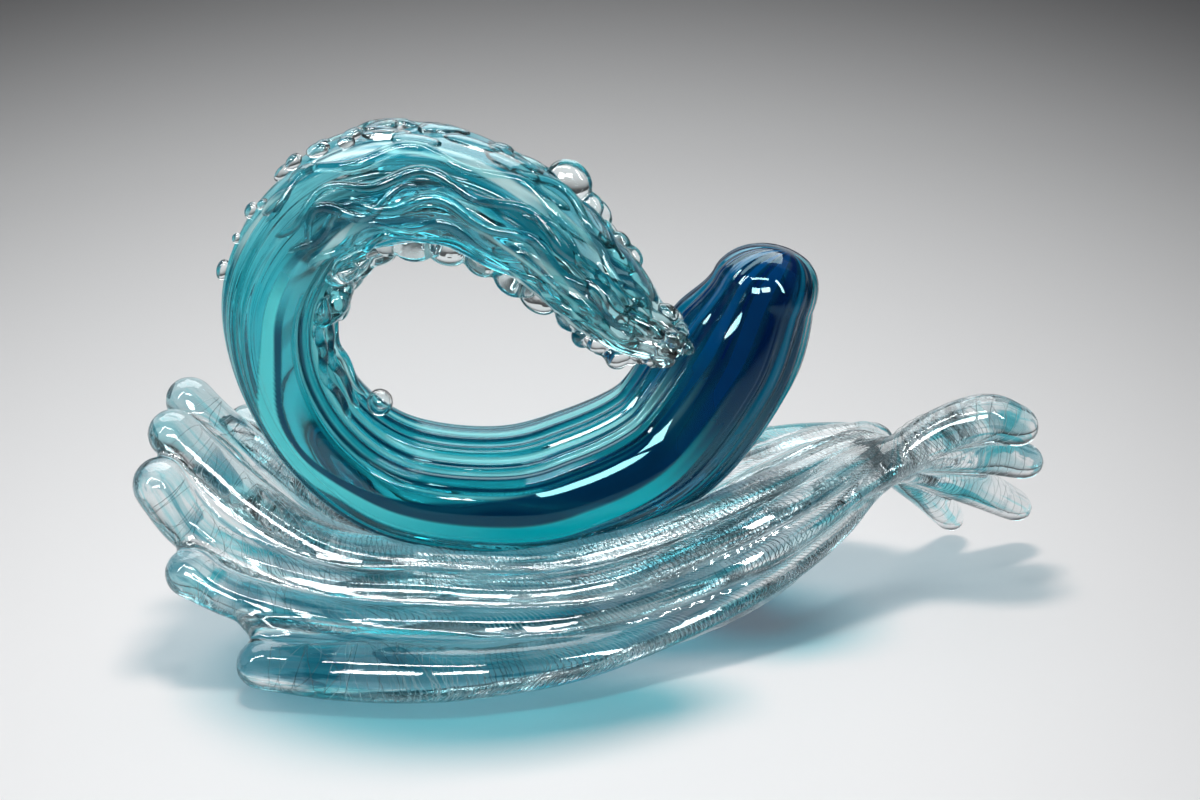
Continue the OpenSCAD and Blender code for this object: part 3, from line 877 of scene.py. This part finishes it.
class GLASSWAVE_OT_cradle(bpy.types.Operator):
    """Make the clear cradle: seven ribs fused side by side, seated under the curl and ground flat"""
    bl_idname = "glasswave.cradle"
    bl_label = "Cradle"

    def execute(self, context):
        sizes, colours = context.scene.cradle_sizes, context.scene.glass_colours
        names = list(RIBS)
        ribs = [rib_mesh(name, sizes.lobe / MM) for name in names]
        webs = [web_mesh(left, right) for left, right in zip(names, names[1:])]
        body = joined(ribs + webs, "cradle_glass")
        melted(body, sizes.melt, CRADLE_FLOW)
        cutter = seat_cutter(sizes.seat_gap / MM)
        cut = body.modifiers.new("seat", "BOOLEAN")
        cut.operation, cut.solver, cut.object = "DIFFERENCE", "MANIFOLD", cutter
        applied(body)
        bpy.data.objects.remove(cutter)
        self.ground_flat(body)
        self.flow(body)
        # Colours of the cradle's streaks: a pale teal that stands in for reflections of the curl and a dark
        # teal for painted shade
        drawn = (((0.30, 0.80, 0.86), (9.0, 1.3, 7.0), 0.54, 0.63),
                 ((0.03, 0.28, 0.36), (6.0, 1.1, 5.0), 0.56, 0.62))
        material = glass("clear_cradle", colours.cradle, (0.60, 0.86, 0.90), 2.2, (0.70, 0.78, 0.81),
                         drawn=drawn, ripple=0.22)
        dressed(body, "clear_glass", material, "base_body")
        return {"FINISHED"}

    @staticmethod
    def flow(body):
        """Notes at each point how far it lies across the ribs, along them and above them, for the streaks"""
        co = coordinates(body) / MM
        total, weights = np.zeros((len(co), 3)), np.zeros(len(co))
        for k, name in enumerate(RIBS):
            sweep, u = rib_sweep(name), np.linspace(0, 1, 200)
            middle = sweep.place(u)
            run = np.concatenate([[0], np.cumsum(np.linalg.norm(np.diff(middle, axis=0), axis=1))])
            ahead, upwards, across = sweep.directions(u)
            middle32 = middle.astype(np.float32)
            near = (middle32**2).sum(1)[None] - 2 * (co @ middle32.T)
            at = near.argmin(1)
            off = co - middle[at]
            beside = k + (off * across[at]).sum(1) / RIB_PITCH
            along = (run[at] + (off * ahead[at]).sum(1)) / 100
            above = (off * upwards[at]).sum(1) / RIB_PITCH
            weight = 1 / (4.0 + (off**2).sum(1)) ** 3
            total += np.stack([beside, along, above], 1) * weight[:, None]
            weights += weight
        layer = body.data.attributes.new("rib_flow", "FLOAT_VECTOR", "POINT")
        layer.data.foreach_set("vector", (total / weights[:, None]).astype(np.float32).ravel())

    @staticmethod
    def ground_flat(body):
        """Brings what reaches under the table up to it"""
        co = coordinates(body)
        co[:, 2] = np.maximum(co[:, 2], 0.0)
        body.data.vertices.foreach_set("co", co.ravel())
        body.data.update()
        body.data.shade_smooth()


# Laid-on glass

def line_mesh(name, lines, radii):
    """Open lines as edges, with a radius at each point, for a tree to give them thickness"""
    points, edges, base = [], [], 0
    for line in lines:
        points.append(np.asarray(line))
        edges += [(base + k, base + k + 1) for k in range(len(line) - 1)]
        base += len(line)
    mesh = bpy.data.meshes.new(name)
    mesh.from_pydata((np.concatenate(points) * MM).tolist(), edges, [])
    layer = mesh.attributes.new("thickness", "FLOAT", "POINT")
    layer.data.foreach_set("value", (np.concatenate(radii) * MM).astype(np.float32))
    return placed(name, mesh)


def rod_tree(name):
    """Gives open lines a round section"""
    tree = Tree(name, {"Material": "NodeSocketMaterial", "Sides": "NodeSocketInt"})
    curve = tree.add("GeometryNodeMeshToCurve", None, {"Mesh": tree.input("Geometry")})
    ring = tree.add("GeometryNodeCurvePrimitiveCircle", None,
                    {"Resolution": tree.input("Sides"), "Radius": 1.0})
    rod = tree.add("GeometryNodeCurveToMesh", None, {
        "Curve": curve.outputs[0], "Profile Curve": ring.outputs["Curve"],
        "Scale": tree.named("FLOAT", "thickness"), "Fill Caps": True})
    tree.end(rod.outputs[0], tree.input("Material"))
    return tree


def foam_tree(name):
    """Sets a bead on each point, fuses the beads and lets them flow"""
    tree = Tree(name, {"Material": "NodeSocketMaterial", "Voxel": "NodeSocketFloat", "Flow": "NodeSocketInt"})
    bead = tree.add("GeometryNodeMeshIcoSphere", None, {"Radius": 1.0, "Subdivisions": 3})
    cloud = tree.add("GeometryNodeMeshToVolume", {"resolution_mode": "VOXEL_SIZE"}, {
        "Mesh": tree.set_on_points(bead.outputs["Mesh"], "bead"), "Voxel Size": tree.input("Voxel"),
        "Interior Band Width": 0.02})
    skin = tree.add("GeometryNodeVolumeToMesh", {"resolution_mode": "VOXEL_SIZE"}, {
        "Volume": cloud.outputs[0], "Voxel Size": tree.input("Voxel"), "Threshold": 0.1})
    spot = tree.add("GeometryNodeInputPosition")
    calm = tree.add("GeometryNodeBlurAttribute", {"data_type": "FLOAT_VECTOR"}, {
        "Value": spot.outputs[0], "Iterations": tree.input("Flow")})
    flowed = tree.add("GeometryNodeSetPosition", None,
                      {"Geometry": skin.outputs[0], "Position": calm.outputs[0]})
    smooth = tree.add("GeometryNodeSetShadeSmooth", None, {"Geometry": flowed.outputs[0]})
    tree.end(smooth.outputs[0], tree.input("Material"))
    return tree


def turned_points(name, kind, places, sizes, directions):
    """A point at each place that carries the size and the turn of what a tree sets on it"""
    mesh = bpy.data.meshes.new(name)
    mesh.from_pydata(places, [], [])
    size = mesh.attributes.new(kind + "_size", "FLOAT_VECTOR", "POINT")
    size.data.foreach_set("vector", np.asarray(sizes, np.float32).ravel())
    turn = mesh.attributes.new(kind + "_turn", "QUATERNION", "POINT")
    turns = [tuple(Matrix(np.asarray(d).T.tolist()).to_quaternion()) for d in directions]
    turn.data.foreach_set("value", np.array(turns, np.float32).ravel())
    return placed(name, mesh)


def bead_points(name, beads):
    """One point a bead: centre, half axes in mm, and the three directions they lie along"""
    return turned_points(
        name, "bead", [tuple(c * MM for c in centre) for centre, _, _ in beads],
        np.array([half for _, half, _ in beads], np.float32) * MM, [directions for _, _, directions in beads])


def bead(sweep, u, angle, half, lift=0.3, lean=0.0):
    """A bead on the curl's skin. half is its half axes along the curl, round it and out of it."""
    u, angle = float(u), float(angle)
    out = sweep.normal(u, angle)
    ahead = unit(sweep.heading(u) - out * float(sweep.heading(u) @ out))
    ahead = unit(ahead + out * lean)
    out = unit(out - ahead * float(out @ ahead))
    side = np.cross(out, ahead)
    return sweep.skin(u, angle) + out * half[2] * lift, half, np.array([ahead, side, out])


class GLASSWAVE_OT_foam(bpy.types.Operator):
    """Make the clear foam, beads fused along the crest's edges and round its tip, and the tip's drop"""
    bl_idname = "glasswave.foam"
    bl_label = "Foam"

    def execute(self, context):
        sweep, colours = wave_sweep(), context.scene.glass_colours
        foam = foam_finish(colours)
        rng = np.random.default_rng(SEED + 7)
        groups = {
            "foam_back_glass": (list(self.back_edge(sweep, rng)), "foam_back"),
            "foam_inner_glass": (list(self.inner_edge(sweep, rng)), "foam_inner"),
            "foam_outer_glass": (list(self.outer_bend(sweep, rng)), "foam_outer"),
            "foam_tip_glass": (list(self.tip(sweep, rng)), "foam_tip"),
            "crest_tip_glass": (self.drop(sweep), "crest_tip"),
        }
        for name, (beads, node) in groups.items():
            piece = foam_tree(name).baked(bead_points(name, beads), name, {
                "Material": foam, "Voxel": FOAM_VOXEL, "Flow": FOAM_FLOW})
            dressed(piece, "foam_glass", foam, node)
        return {"FINISHED"}

    @staticmethod
    def back_edge(sweep, rng):
        for k in range(9):
            u = 0.806 + 0.0098 * k + rng.uniform(-0.002, 0.002)
            r = (9.6 - 0.3 * k) * (1 + 0.28 * math.cos(2.3 * k))
            angle = 20 + 27 * (k % 2) + rng.uniform(-6, 6)
            yield bead(sweep, u, angle, (r * 1.15, r * 0.6, r), 0.42, rng.uniform(-0.5, 0.5))
        for k in range(22):
            u = rng.uniform(0.66, 0.92)
            r = rng.uniform(4.0, 6.6)
            angle, half = rng.uniform(-5, 70), (r * rng.uniform(1.1, 2.4), r, r * 0.8)
            yield bead(sweep, u, angle, half, 0.2, rng.uniform(-0.3, 0.3))

    @staticmethod
    def inner_edge(sweep, rng):
        for k in range(19):
            u = 0.60 + 0.0165 * k + rng.uniform(-0.004, 0.004)
            r = rng.uniform(7.5, 12.5) * (1 - 0.012 * k)
            angle = 176 + 20 * (k % 2) + rng.uniform(-9, 9)
            yield bead(sweep, u, angle, (r * 1.3, r * 0.75, r), 0.4, rng.uniform(-0.3, 0.3))
        for k in range(16):
            u, r = 0.53 + 0.0085 * k, rng.uniform(7.0, 11.5)
            angle = rng.uniform(-196, -138)
            yield bead(sweep, u, angle, (r * 1.3, r, r * 0.75), 0.5, rng.uniform(-0.5, 0.5))
        for k in range(14):
            u = rng.uniform(0.49, 0.92)
            r = rng.uniform(3.5, 6.0) * (0.75 if u < 0.57 else 1.0)
            angle, half = 190 + rng.normal(0, 14), (r * rng.uniform(0.9, 1.6), r, r)
            yield bead(sweep, u, angle, half, 0.6, rng.uniform(-0.4, 0.4))

    @staticmethod
    def outer_bend(sweep, rng):
        for k in range(7):
            u = 0.54 + 0.022 * k + rng.uniform(-0.006, 0.006)
            r = rng.uniform(2.4, 4.6)
            angle, half = rng.uniform(-22, 8), (r * rng.uniform(1.2, 2.2), r, r)
            yield bead(sweep, u, angle, half, 0.3, rng.uniform(-0.2, 0.2))
        for k in range(14):
            u = rng.uniform(0.60, 0.80)
            r = rng.uniform(3.4, 5.4)
            angle, half = rng.uniform(-38, 22), (r * rng.uniform(1.6, 3.6), r * 1.2, r * 0.8)
            yield bead(sweep, u, angle, half, 0.12, rng.uniform(-0.1, 0.1))

    @staticmethod
    def tip(sweep, rng):
        for k in range(13):
            u = 0.868 + 0.0088 * k
            r = rng.uniform(5.4, 7.6)
            hang = 1.05 if 0.88 < u < 0.955 else 0.5
            angle = 182 + rng.uniform(-18, 18)
            yield bead(sweep, u, angle, (r * 1.1, r, r * 1.1), hang, rng.uniform(-0.3, 0.3))
        for k in range(7):
            u, r = 0.872 + 0.016 * k, rng.uniform(5.5, 7.0)
            angle = -100 + 34 * (k % 3) + rng.uniform(-8, 8)
            yield bead(sweep, u, angle, (r * 2.6, r, r), 0.1, rng.uniform(-0.15, 0.15))
        for k in range(6):
            yield bead(sweep, 0.965 + 0.006 * k, 60 * k + 0.01, (8.0, 5.5, 6.5), 0.45)

    @staticmethod
    def drop(sweep):
        end, ahead = sweep.place(np.array(0.99)), sweep.heading(0.99)
        side = unit(np.cross(ahead, [0.0, 0.0, 1.0]))
        directions = np.array([ahead, side, np.cross(ahead, side)])
        lumps = ((4, 1, (8.5, 6.5, 6)), (2, -5, (6, 5, 5)), (9, 2, (5.5, 4.5, 4.5)))
        return [(end + ahead * on + side * aside, half, directions) for on, aside, half in lumps]


class GLASSWAVE_OT_strands(bpy.types.Operator):
    """Make the aqua strands laid over the crest and the drips inside the left bend"""
    bl_idname = "glasswave.strands"
    bl_label = "Strands and drips"

    def execute(self, context):
        sweep, colours = wave_sweep(), context.scene.glass_colours
        rng = np.random.default_rng(SEED + 3)
        aqua = glass("aqua_strand", colours.aqua, (0.30, 0.84, 0.88), 14.0, (0.75, 0.92, 0.93))
        lines, radii = [], []
        for k in range(5):
            self.lay(sweep, lines, radii, 0.60, 0.95, -134 + 25 * k, 7, 7.2, k, 3.4, 90, 0.35)
        for k in range(9):
            start = rng.uniform(0.585, 0.84)
            end = min(start + rng.uniform(0.07, 0.20), 0.99)
            self.lay(sweep, lines, radii, start, end, rng.uniform(-165, 45), rng.uniform(4, 14),
                     rng.uniform(6, 13), rng.uniform(0, 6.3), rng.uniform(2.8, 5.0), 60,
                     rng.uniform(0.1, 0.8))
        self.rods("crest_strands", lines, radii, aqua, 14, *("crest_strand_%d" % k for k in range(1, 6)))
        lines, radii = [], []
        for k in range(3):
            self.lay(sweep, lines, radii, 0.41, 0.585, -172 + 15 * k, 3, 9, k, 3.0, 50, 0.5)
        self.rods("drip_strands_glass", lines, radii, aqua, 16, "drip_strands")
        return {"FINISHED"}

    @staticmethod
    def rods(name, lines, radii, material, sides, *nodes):
        piece = rod_tree(name).baked(line_mesh(name, lines, radii), name,
                                     {"Material": material, "Sides": sides})
        piece.data.shade_smooth()
        dressed(piece, "aqua_glass", material, *nodes)

    @staticmethod
    def lay(sweep, lines, radii, start, end, angle, swing, waves, phase, radius, count, lift):
        """One strand along the curl, thinned towards both ends"""
        t = np.linspace(0, 1, count)
        u = start + (end - start) * t
        a = angle + swing * np.sin(waves * 6.28 * (u - start) * 2 + phase)
        r = radius * (0.16 + 0.84 * np.abs(np.sin(np.pi * t)) ** 0.35) * (1 + 0.15 * np.sin(60 * u + phase))
        r[0] = r[-1] = radius * 0.12
        lines.append(sweep.skin(u, a, radius * lift * (1 + 0.5 * np.sin(34 * u + phase))))
        radii.append(r)


class GLASSWAVE_OT_bubble(bpy.types.Operator):
    """Make the clear bubble inside the curl, with air in it"""
    bl_idname = "glasswave.bubble"
    bl_label = "Bubble"

    def execute(self, context):
        sweep = wave_sweep()
        foam = foam_finish(context.scene.glass_colours)
        low, high = (np.array(c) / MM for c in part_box("curl_bubble"))
        middle, half = (low + high) / 2, (high - low) / 2
        axes = np.diag(half * 1.02)
        shell = ball("curl_bubble_glass", middle, axes)
        air = ball("air", middle + [0.3, -0.2, 0.4], axes * 0.74)
        inner = bmesh.new()
        inner.from_mesh(air.data)
        bmesh.ops.reverse_faces(inner, faces=inner.faces)
        inner.to_mesh(air.data)
        inner.free()
        both = joined([shell, air], "curl_bubble_glass")
        both.data.shade_smooth()
        dressed(both, "foam_glass", foam, "curl_bubble")
        return {"FINISHED"}


def thread_tree():
    """Winds the fine thread inside a rib: one ring at each step along it, in the rib's own section"""
    tree = Tree("threads", {"Material": "NodeSocketMaterial", "Thread radius": "NodeSocketFloat"})
    ring = tree.add("GeometryNodeCurvePrimitiveCircle", None, {"Resolution": 28, "Radius": 1.0})
    profile = tree.add("GeometryNodeCurvePrimitiveCircle", None, {
        "Resolution": 3, "Radius": tree.input("Thread radius")})
    thread = tree.add("GeometryNodeCurveToMesh", None, {
        "Curve": tree.set_on_points(ring.outputs["Curve"], "ring"),
        "Profile Curve": profile.outputs["Curve"]})
    tree.end(thread.outputs[0], tree.input("Material"))
    return tree


class GLASSWAVE_OT_threads(bpy.types.Operator):
    """Wind the fine white and grey threads inside the cradle's ribs"""
    bl_idname = "glasswave.threads"
    bl_label = "Threads"

    def execute(self, context):
        sizes, colours = context.scene.cradle_sizes, context.scene.glass_colours
        spots, spans, turns = [], [], []
        rng = np.random.default_rng(SEED + 11)
        for name in RIBS:
            sweep = rib_sweep(name)
            u = np.linspace(0, 1, 400)
            run = np.concatenate([[0], np.cumsum(np.linalg.norm(np.diff(sweep.place(u), axis=0), axis=1))])
            close = sizes.thread_spacing / MM
            wider = 2.2 * (1 - smooth_step(run, 0, 110)) + smooth_step(run, run[-1] - 90, run[-1])
            gaps = close * (1 + wider)
            turns_done = np.concatenate([[0], np.cumsum(np.diff(run) / gaps[1:])])
            at = np.interp(np.arange(0.8, turns_done[-1], 1.0), turns_done, u)
            loose = 1 - smooth_step(at, 0.05, 0.30)
            ahead, outward, across = sweep.directions(at)
            s = sweep.at(at)
            for k, place in enumerate(sweep.place(at)):
                long = smooth_step(at[k], 0.05, 0.22) * (1 - smooth_step(at[k], 0.84, 0.95))
                lean = 0.45 + 1.35 * long + 0.25 * math.sin(0.13 * k + len(name))
                lean += loose[k] * rng.uniform(-0.8, 0.8)
                slope = 0.35 * math.sin(0.09 * k + len(name)) + loose[k] * rng.uniform(-0.8, 0.8)
                axis = unit(ahead[k] + across[k] * lean + outward[k] * slope)
                side = unit(across[k] - axis * float(across[k] @ axis))
                up = np.cross(axis, side)
                share = 0.76 + 0.05 * math.sin(0.17 * k) + rng.uniform(-0.015, 0.015) - 0.16 * loose[k]
                spots.append(tuple(place * MM))
                stretch = share / max(float(across[k] @ side), 0.35)
                spans.append((s[k, 4] * sweep.deep * stretch * MM, s[k, 3] * sweep.thick * share * MM, 1.0))
                turns.append([side, up, np.cross(side, up)])
        material = self.thread_material(colours)
        points = turned_points("cradle_threads", "ring", spots, spans, turns)
        piece = thread_tree().baked(points, "cradle_threads", {
            "Material": material, "Thread radius": sizes.thread_radius})
        piece.data.shade_smooth()
        dressed(piece, "clear_glass", material)
        return {"FINISHED"}

    @staticmethod
    def thread_material(colours):
        mat = bpy.data.materials.new("thread_glass")
        b = Build(mat)
        spot = b.add("ShaderNodeTexCoord").out("Object")
        colour = b.mix(b.noise(spot, 30.0, 2.0).step(0.40, 0.56), (0.15, 0.17, 0.18), tuple(colours.thread))
        body = b.add("ShaderNodeBsdfPrincipled", None, {"Base Color": colour, "Roughness": 0.45})
        through = b.add("ShaderNodeBsdfTransparent", None, {"Color": (0.80, 0.84, 0.86)})
        path = b.add("ShaderNodeLightPath")
        lit = b.add("ShaderNodeMixShader", None, {0: path.out("Is Shadow Ray"), 1: body, 2: through})
        b.add("ShaderNodeOutputMaterial", None, {"Surface": lit})
        return mat


class GLASSWAVE_OT_bond(bpy.types.Operator):
    """Give the adhesive pads under the curl their clear finish"""
    bl_idname = "glasswave.bond"
    bl_label = "Adhesive pads"

    def execute(self, context):
        bond = glass("bond_clear", (0.97, 0.985, 0.985), (0.9, 0.95, 0.95), 0.0, (0.95, 0.97, 0.97),
                     roughness=0.12, ior=1.48)
        pads = bpy.data.objects["seat_bond"]
        for slot in pads.material_slots:
            slot.material = bond
        return {"FINISHED"}


# The stage

class GLASSWAVE_OT_stage(bpy.types.Operator):
    """Make the floor, the lights and the camera"""
    bl_idname = "glasswave.stage"
    bl_label = "Stage"

    def execute(self, context):
        studio, colours = context.scene.studio_sizes, context.scene.glass_colours
        self.floor(colours)
        self.lights(studio)
        self.world(studio)
        self.camera(context, studio)
        context.scene.view_settings.view_transform = "Standard"
        # Light crosses many skins of glass on its way through the crest and the cradle
        cycles = context.scene.cycles
        cycles.max_bounces = cycles.transmission_bounces = 22
        cycles.transparent_max_bounces = 24
        return {"FINISHED"}

    @staticmethod
    def floor(colours):
        mesh = bpy.data.meshes.new("floor")
        far = 6.0
        mesh.from_pydata([(-far, -far, 0), (far, -far, 0), (far, far, 0), (-far, far, 0)], [], [(0, 1, 2, 3)])
        floor = placed("floor", mesh)
        mat = bpy.data.materials.new("floor_paper")
        b = Build(mat)
        spot = b.add("ShaderNodeTexCoord").out("Object")
        moved = b.add("ShaderNodeMapping", None,
                      {"Vector": spot, "Location": (0.05, 0.315, 0.0), "Scale": (0.95, 0.5, 1)})
        away = b.add("ShaderNodeVectorMath", {"operation": "LENGTH"}, {0: moved}).value("Value")
        # Painted light: the floor's colour fades from pale in front of the object to near black far off,
        # standing in for the falloff of the studio light
        share = away.step(0.10, 1.265)
        colour = b.mix(share, tuple(colours.floor), (0.05, 0.051, 0.053))
        body = b.add("ShaderNodeBsdfPrincipled", None,
                     {"Base Color": colour, "Roughness": 0.6, "Specular IOR Level": 0.2})
        b.add("ShaderNodeOutputMaterial", None, {"Surface": body})
        mesh.materials.append(mat)

    @staticmethod
    def lights(studio):
        """A key and a weak fill for the scene, and strips that show only as streaks in the glass"""
        lamps = {
            "key": ((-0.15, 0.60, 2.22), (0.62, 0.32), studio.key, "scene"),
            "front_fill": ((0.10, -1.60, 0.42), (1.50, 0.50), studio.key * 0.13, "scene"),
            "box": ((-0.25, 1.05, 1.45), (2.10, 1.20), studio.glint * 0.55, "glass"),
            "left_strip": ((-0.95, -0.45, 1.25), (0.12, 1.10), studio.glint * 0.26, "glass"),
            "right_strip": ((0.85, -0.80, 1.05), (0.10, 0.90), studio.glint * 0.20, "mirror"),
            "top_strip": ((-0.10, -0.60, 1.60), (0.90, 0.14), studio.glint * 0.20, "mirror"),
            "window_left": ((-0.33, -1.20, 0.98), (0.44, 0.40), studio.glint * 0.30, "mirror"),
            "window_right": ((0.20, -1.22, 1.06), (0.44, 0.34), studio.glint * 0.26, "mirror"),
        }
        for name, (place, size, power, seen_by) in lamps.items():
            lamp = bpy.data.lights.new(name, "AREA")
            lamp.shape, lamp.size, lamp.size_y, lamp.energy = "RECTANGLE", size[0], size[1], power
            obj = bpy.data.objects.new(name, lamp)
            bpy.context.scene.collection.objects.link(obj)
            obj.location = place
            aim = Vector((0.0, -0.02, 0.12)) - Vector(place)
            obj.rotation_euler = aim.to_track_quat("-Z", "Y").to_euler()
            obj.visible_diffuse = seen_by == "scene"
            obj.visible_glossy = seen_by != "scene"
            obj.visible_transmission = seen_by == "glass"
            obj.visible_camera = False

    @staticmethod
    def world(studio):
        """Dark studio with a pale backdrop and two soft boxes overhead, which glass shows as streaks"""
        world = bpy.data.worlds.new("studio")
        bpy.context.scene.world = world
        b = Build(world)
        parts = b.add("ShaderNodeSeparateXYZ", None, {0: b.add("ShaderNodeTexCoord").out("Generated")})
        x, y, z = (parts.value(k) for k in range(3))
        height = z.least(0.04)
        across, back = x / height, y / height
        above = z.step(0.05, 0.12)

        def box(left, right, near, far, edge=0.05):
            inside = across.step(left - edge, left + edge) * (1 - across.step(right - edge, right + edge))
            deep = back.step(near - edge, near + edge) * (1 - back.step(far - edge, far + edge))
            return inside * deep * above

        backdrop = y.step(-0.1, 0.95) * (1 - z.step(0.06, 0.42)) * 0.7
        level = 0.05 + backdrop + box(-1.25, 0.85, 0.28, 1.05) * 0.26 + box(-2.8, -2.0, -1.2, 0.9) * 0.45
        colour = b.add("ShaderNodeCombineXYZ", None, {0: level, 1: level, 2: level * 1.02})
        back_node = b.add("ShaderNodeBackground", None, {"Color": colour, "Strength": studio.fill})
        b.add("ShaderNodeOutputWorld", None, {"Surface": back_node})

    @staticmethod
    def camera(context, studio):
        lens = bpy.data.cameras.new("camera")
        lens.lens, lens.sensor_width = studio.lens, 36.0
        lens.clip_end = 50
        eye = bpy.data.objects.new("camera", lens)
        context.scene.collection.objects.link(eye)
        aim = np.array([0.0, 0.0, studio.aim_height]) - FOOTPRINT_MIDDLE * MM
        e = studio.elevation
        eye.location = aim - np.array([0, math.cos(e), -math.sin(e)]) * studio.distance
        eye.rotation_euler = (math.pi / 2 - e, 0, 0)
        context.scene.camera = eye


PROPERTY_GROUPS = {
    "wave_sizes": WaveSizes, "cradle_sizes": CradleSizes, "glass_colours": GlassColours,
    "studio_sizes": StudioSizes}
STEPS = [
    GLASSWAVE_OT_stage, GLASSWAVE_OT_cradle, GLASSWAVE_OT_threads, GLASSWAVE_OT_bond, GLASSWAVE_OT_curl,
    GLASSWAVE_OT_core, GLASSWAVE_OT_strands, GLASSWAVE_OT_foam, GLASSWAVE_OT_bubble,
]


class GLASSWAVE_PT_panel(bpy.types.Panel):
    """Lists the steps that make the sculpture"""
    bl_label = "Glass wave"
    bl_idname = "GLASSWAVE_PT_panel"
    bl_space_type = "VIEW_3D"
    bl_region_type = "UI"
    bl_category = "Glass wave"

    def draw(self, context):
        for step in STEPS:
            self.layout.operator(step.bl_idname)
        for name in PROPERTY_GROUPS:
            box = self.layout.box()
            group = getattr(context.scene, name)
            for prop in group.bl_rna.properties:
                if prop.identifier not in ("rna_type", "name"):
                    box.prop(group, prop.identifier)


def register():
    for name, group in PROPERTY_GROUPS.items():
        bpy.utils.register_class(group)
        setattr(bpy.types.Scene, name, bpy.props.PointerProperty(type=group))
    for step in STEPS:
        bpy.utils.register_class(step)
    bpy.utils.register_class(GLASSWAVE_PT_panel)


def unregister():
    bpy.utils.unregister_class(GLASSWAVE_PT_panel)
    for step in reversed(STEPS):
        bpy.utils.unregister_class(step)
    for name, group in PROPERTY_GROUPS.items():
        delattr(bpy.types.Scene, name)
        bpy.utils.unregister_class(group)


def main():
    register()
    for step in STEPS:
        family, name = step.bl_idname.split(".")
        getattr(getattr(bpy.ops, family), name)()


if __name__ == "__main__":
    main()
